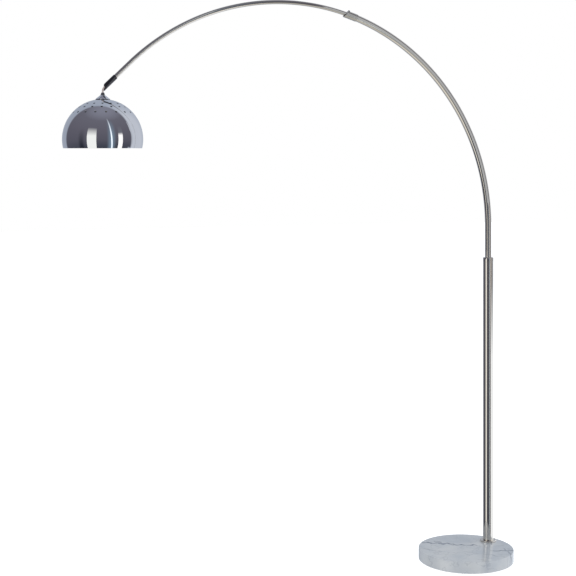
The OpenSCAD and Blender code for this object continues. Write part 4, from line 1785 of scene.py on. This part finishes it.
@dataclass
class Studio:
    """Pale floor, white room, soft lights and the panels that the polished metal shows."""

    room_radius: float = 30.0
    tent_radius: float = 27.0
    tent_levels: tuple[float, float] = (0.71, 0.74)
    room_middle: tuple[float, float, float] = (-0.6, 0.0, 1.0)
    backdrop_bearing: float = 60.5
    backdrop_edge: float = 0.289
    backdrop_blur: float = 0.05
    floor_reach: float = 18.0
    floor_glow: float = 0.68

    def glossy_only(self, piece: bpy.types.Object) -> None:
        """Lets only mirror rays see a stage piece."""
        piece.visible_camera = False
        piece.visible_diffuse = False
        piece.visible_transmission = False
        piece.visible_volume_scatter = False
        piece.visible_shadow = False

    def stand(
        self, name: str, mesh: bpy.types.Mesh
    ) -> tuple[bpy.types.Object, bpy.types.NodeTree]:
        """Stands a piece of the studio up, with an empty material.

        Args:
            name: Its name.
            mesh: Its mesh.

        Returns:
            The piece and its material's empty tree.
        """
        made = shown(name, mesh)
        paint = bpy.data.materials.new(name)
        paint.use_nodes = True
        paint.node_tree.nodes.clear()
        mesh.materials.append(paint)
        return made, paint.node_tree

    def floor(self) -> None:
        """Makes the pale floor, which mirrors don't see."""
        mesh = bpy.data.meshes.new("studio_floor")
        reach = self.floor_reach
        corners = [(-reach, -reach, 0), (reach, -reach, 0), (reach, reach, 0), (-reach, reach, 0)]
        mesh.from_pydata(corners, [], [(0, 1, 2, 3)])
        made, tree = self.stand("studio_floor", mesh)
        paper = add(
            tree,
            "ShaderNodeBsdfPrincipled",
            {
                "Base Color": linear("#f0f0f0"),
                "Roughness": 1.0,
                "Specular IOR Level": 0.0,
                "Emission Color": (1.0, 1.0, 1.0, 1.0),
                "Emission Strength": self.floor_glow,
            },
        )
        add(tree, "ShaderNodeOutputMaterial", {"Surface": paper.outputs[0]})
        made.visible_glossy = False
        made.visible_diffuse = False

    def sphere(self, name: str, radius: float) -> tuple[bpy.types.Object, bpy.types.NodeTree, Any]:
        """Makes a sphere round everything, with an empty material.

        Args:
            name: The sphere's name.
            radius: Its radius, in metres.

        Returns:
            The sphere, its material's empty tree and the socket of the direction seen.
        """
        mesh = bpy.data.meshes.new(name)
        work = bmesh.new()
        bmesh.ops.create_icosphere(work, subdivisions=4, radius=radius)
        work.to_mesh(mesh)
        work.free()
        mesh.transform(Matrix.Translation(self.room_middle))
        made, tree = self.stand(name, mesh)
        place = add(tree, "ShaderNodeTexCoord").outputs["Object"]
        off = add(tree, "ShaderNodeVectorMath", (place, self.room_middle), operation="SUBTRACT")
        way = add(tree, "ShaderNodeVectorMath", (off.outputs[0],), operation="NORMALIZE")
        return made, tree, way.outputs[0]

    def towards(self, tree: bpy.types.NodeTree, way: Any, bearing: float) -> Any:
        """Gives how far a direction points to a bearing, from -1 to 1."""
        turn = math.radians(bearing)
        both = (way, (math.cos(turn), math.sin(turn), 0.0))
        return add(tree, "ShaderNodeVectorMath", both, operation="DOT_PRODUCT").outputs["Value"]

    def glow(self, tree: bpy.types.NodeTree, colour: Any, strength: Any) -> None:
        """Ends a material in a light of a colour and a strength."""
        light = add(tree, "ShaderNodeEmission", {"Color": colour, "Strength": strength})
        add(tree, "ShaderNodeOutputMaterial", {"Surface": light.outputs[0]})

    def ramp(self, tree: bpy.types.NodeTree, value: Any, *stops: tuple[float, str]) -> Any:
        """Gives a colour that follows a value through stops of (value, colour)."""
        made = add(tree, "ShaderNodeValToRGB", {0: value})
        elements = made.color_ramp.elements
        while len(elements) < len(stops):
            elements.new(0.5)
        for element, (spot, code) in zip(elements, stops):
            element.position = spot
            element.color = linear(code)
        return made.outputs[0]

    def room(self) -> None:
        """Makes the room that mirrors see: dark towards the camera, pale backdrop behind."""
        made, tree, way = self.sphere("mirrored_room", self.room_radius)
        facing = self.towards(tree, way, self.backdrop_bearing)
        ends = (self.backdrop_edge - self.backdrop_blur, self.backdrop_edge + self.backdrop_blur)
        side = add(tree, "ShaderNodeMapRange", (facing, *ends))
        up = add(tree, "ShaderNodeSeparateXYZ", (way,))
        height = add(tree, "ShaderNodeMapRange", (up.outputs[2], -1.0, 1.0)).outputs[0]
        dark = self.ramp(
            tree, height, (0.0, "#d8d5ce"), (0.2, "#c6c3bc"), (0.27, "#3c424d"), (0.5, "#615f69"),
            (0.72, "#6b6872"), (0.9, "#716f79"), (1.0, "#8c8c98"),
        )
        right = self.towards(tree, way, -20.0)
        share = add(tree, "ShaderNodeMapRange", (right, -1.0, 1.0)).outputs[0]
        pale = self.ramp(tree, share, (0.1, "#a9afbb"), (0.5, "#afb6c3"), (0.8, "#d2d5dc"))
        both = add(tree, "ShaderNodeMix", {0: side.outputs[0], 6: dark, 7: pale}, data_type="RGBA")
        self.glow(tree, both.outputs[2], 1.0)
        self.glossy_only(made)

    def tent(self) -> None:
        """Makes the soft light tent that matt pieces see, a little brighter above."""
        made, tree, way = self.sphere("light_tent", self.tent_radius)
        up = add(tree, "ShaderNodeSeparateXYZ", (way,))
        level = add(tree, "ShaderNodeMapRange", (up.outputs[2], -1.0, 1.0, *self.tent_levels))
        self.glow(tree, linear("#f7fbff"), level.outputs[0])
        made.visible_camera = False
        made.visible_glossy = False
        made.visible_transmission = False
        made.visible_shadow = False

    def card(self, card: Card) -> None:
        """Stands one light panel up.

        Args:
            card: The panel.
        """
        (x0, y0), (x1, y1) = card.start, card.end
        over_x, over_y = card.lean
        head = [(x1 + over_x, y1 + over_y, card.high), (x0 + over_x, y0 + over_y, card.high)]
        mesh = bpy.data.meshes.new(card.name)
        mesh.from_pydata([(x0, y0, card.low), (x1, y1, card.low), *head], [], [(0, 1, 2, 3)])
        made, tree = self.stand(card.name, mesh)
        lit = {"Color": linear(card.colour), "Strength": card.strength}
        light = add(tree, "ShaderNodeEmission", lit).outputs[0]
        clear = add(tree, "ShaderNodeBsdfTransparent").outputs[0]
        place = add(tree, "ShaderNodeTexCoord").outputs["Object"]
        height = add(tree, "ShaderNodeSeparateXYZ", (place,)).outputs[2]
        fade_foot = card.high - max(card.fade, 0.001)
        mask = add(tree, "ShaderNodeMapRange", (height, card.high, fade_foot)).outputs[0]
        if card.bar:
            slope = Vector((*card.lean, 0)) / (card.high - card.low)
            middle = Vector(((x0 + x1) / 2, (y0 + y1) / 2, 0)) - slope * card.low
            line = (height, slope, middle)
            axis = add(tree, "ShaderNodeVectorMath", line, operation="MULTIPLY_ADD").outputs[0]
            off = add(tree, "ShaderNodeVectorMath", (place, axis), operation="SUBTRACT").outputs[0]
            flat = add(tree, "ShaderNodeVectorMath", (off, (1.0, 1.0, 0.0)), operation="MULTIPLY")
            reach = add(tree, "ShaderNodeVectorMath", (flat.outputs[0],), operation="LENGTH")
            half = math.hypot(x1 - x0, y1 - y0) / 2
            edge = add(
                tree,
                "ShaderNodeMapRange",
                (reach.outputs["Value"], half, half * (1 - card.bar)),
                interpolation_type="SMOOTHSTEP",
            )
            mask = add(tree, MATH, (mask, edge.outputs[0]), operation="MULTIPLY").outputs[0]
        mix = add(tree, "ShaderNodeMixShader", (mask, clear, light))
        add(tree, "ShaderNodeOutputMaterial", {"Surface": mix.outputs[0]})
        self.glossy_only(made)

    def curtain(self, arm: ArmLine) -> None:
        """Hangs a pale curved panel in front of the arm, as pale as the backdrop behind it."""
        mesh = bpy.data.meshes.new("arm_panel")
        first, spread, steps = 4, 68, 12
        inner, outer, ahead = 0.62, 1.12, -0.25
        points = []
        for k in range(steps + 1):
            turn = math.radians(first + spread * k / steps)
            for reach in (inner, outer):
                out, up = reach * math.cos(turn), reach * math.sin(turn)
                points.append((arm.x * MM + out, ahead, arm.z * MM + up))
        faces = [(2 * k, 2 * k + 1, 2 * k + 3, 2 * k + 2) for k in range(steps)]
        mesh.from_pydata(points, [], faces)
        made, tree = self.stand("arm_panel", mesh)
        self.glow(tree, linear("#c6cad0"), 1.0)
        self.glossy_only(made)

    def lights(self) -> None:
        """Sets a white world behind everything and three soft lamps."""
        world = bpy.data.worlds.new("white_room")
        bpy.context.scene.world = world
        world.use_nodes = True
        ground = world.node_tree.nodes["Background"]
        ground.inputs["Color"].default_value = (1.0, 1.0, 1.0, 1.0)
        ground.inputs["Strength"].default_value = 1.0
        world.cycles_visibility.glossy = False
        world.cycles_visibility.diffuse = False
        for name, spot, size, power in (
            ("right_lamp", (2.6, -1.6, 2.2), 1.6, 9.0),
            ("left_lamp", (-3.0, -1.6, 2.8), 1.6, 5.0),
            ("front_lamp", (-1.4, -3.2, 0.7), 1.6, 10.0),
        ):
            lamp = bpy.data.lights.new(name, "AREA")
            lamp.size = size
            lamp.energy = power
            made = bpy.data.objects.new(name, lamp)
            bpy.context.scene.collection.objects.link(made)
            made.location = spot
            aim = Vector((-0.2, 0, 0.6)) - Vector(spot)
            made.rotation_euler = aim.to_track_quat("-Z", "Y").to_euler()
            made.visible_glossy = False

    def build(self, arm: ArmLine) -> None:
        """Sets up the whole studio round the arm."""
        bpy.context.scene.view_settings.view_transform = "Standard"
        self.floor()
        self.room()
        self.tent()
        self.lights()
        self.curtain(arm)
        for card in CARDS:
            self.card(card)


def far_card(
    name: str,
    first: float,
    last: float,
    reach: float,
    low: float,
    high: float,
    colour: str,
    strength: float,
    fade: float = 0.0,
    bar: float = 0.0,
    lean: float = 0.0,
) -> Card:
    """Places a panel by the two bearings between which the shade sees it.

    Args:
        name: The panel's name.
        first: Bearing of one edge from the shade's axis, in degrees from +X towards +Y.
        last: Bearing of the other edge.
        reach: Distance from the shade's axis, in metres.
        low: Elevation in degrees of its foot, from the shade's middle.
        high: Elevation of its top.
        colour: Its colour.
        strength: Its strength.
        fade: Share of its height over which its top fades.
        bar: Share of its half width over which its sides fade.
        lean: How far its head is turned on from its foot, in degrees.

    Returns:
        The panel.
    """
    spots = []
    for bearing in (first, last, first + lean):
        turn = math.radians(bearing)
        out, along = reach * math.cos(turn), reach * math.sin(turn)
        spots.append((DOME_MIDDLE[0] + out, DOME_MIDDLE[1] + along))
    start, end, head = spots
    foot = DOME_MIDDLE[2] + reach * math.tan(math.radians(low))
    top = DOME_MIDDLE[2] + reach * math.tan(math.radians(high))
    over = (head[0] - start[0], head[1] - start[1])
    return Card(name, start, end, foot, top, colour, strength, fade * (top - foot), bar, over)


CARDS: tuple[Card, ...] = (
    far_card("left_softbox", -146, -119.5, 1.6, -40, 30, "#fdfcf4", 1.15, 0.3),
    far_card("right_softbox", -57, -43.5, 14.0, -40, 17, "#fbf6f0", 1.4, 0.12),
    far_card("right_softbox_halo", -57, -42, 14.2, -40, 35, "#86888f", 0.9, 0.4, 0.3),
    far_card("edge_light", -75.5, -70, 6.0, -45, 60, "#f4fbff", 1.5, 0.6, 0.7, lean=-11),
    far_card("edge_light_glow", -92, -62, 6.2, -45, 54, "#8fa3b4", 0.8, 0.5, 0.95),
    far_card("dark_flag", -176, -151, 1.9, -45, 25, "#161c26", 1.0, 0.7, 0.9),
    Card("white_side_card", (0.61, -0.82), (1.3, 1.6), -0.8, 0.86, "#f4f8ff", 1.35, 0.3),
    Card("pole_softbox", (-0.88, 0.02), (-0.69, -0.54), -0.8, 0.97, "#fffdf8", 1.2, 0.05, 0.5),
)


# ---------- camera and assembly ----------


@dataclass
class View:
    """The camera: level, with its frame shifted down to take in the base."""

    place: tuple[float, float, float] = (-2.1201, -4.0591, 1.4008)
    bearing: float = -20.0
    lens: float = 83.63
    shift: float = -0.2454

    def build(self) -> None:
        """Makes the camera and gives it to the scene."""
        data = bpy.data.cameras.new("view")
        data.sensor_width = 36.0
        data.lens = self.lens
        data.shift_y = self.shift
        data.clip_end = 200.0
        made = bpy.data.objects.new("view", data)
        bpy.context.scene.collection.objects.link(made)
        made.location = self.place
        made.rotation_euler = (math.radians(90), 0.0, math.radians(self.bearing))
        bpy.context.scene.camera = made


def finish_cad_nodes(frame: dict[str, Any]) -> None:
    """Gives every CAD node the finish of its slot, whether it shows or not.
    """
    slots = {row["node"]: row["material_slot"] for row in frame["record"]["subparts"]}
    for name, node in frame["nodes"].items():
        material = FINISHES[slots[name]].material()
        for place in node.material_slots:
            place.material = material
        if not node.material_slots:
            node.data.materials.append(material)
        if not node.hide_render:
            LOG.info("%s keeps its CAD mesh with %s", name, material.name)


def main() -> None:
    """Builds the lamp and its studio."""
    logging.basicConfig(level=logging.INFO, format="%(name)s: %(message)s")
    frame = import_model()
    layout = Layout.of(frame["joints"])
    View().build()
    HangingLead(layout).build()
    InnerLead(layout).build()
    Base(layout).build()
    Pole(layout).build()
    Arm(layout).build()
    dome = Dome(layout)
    dome.build()
    Holder(layout, dome.middle).build()
    finish_cad_nodes(frame)
    Studio().build(layout.arm)


if __name__ == "__main__":
    main()
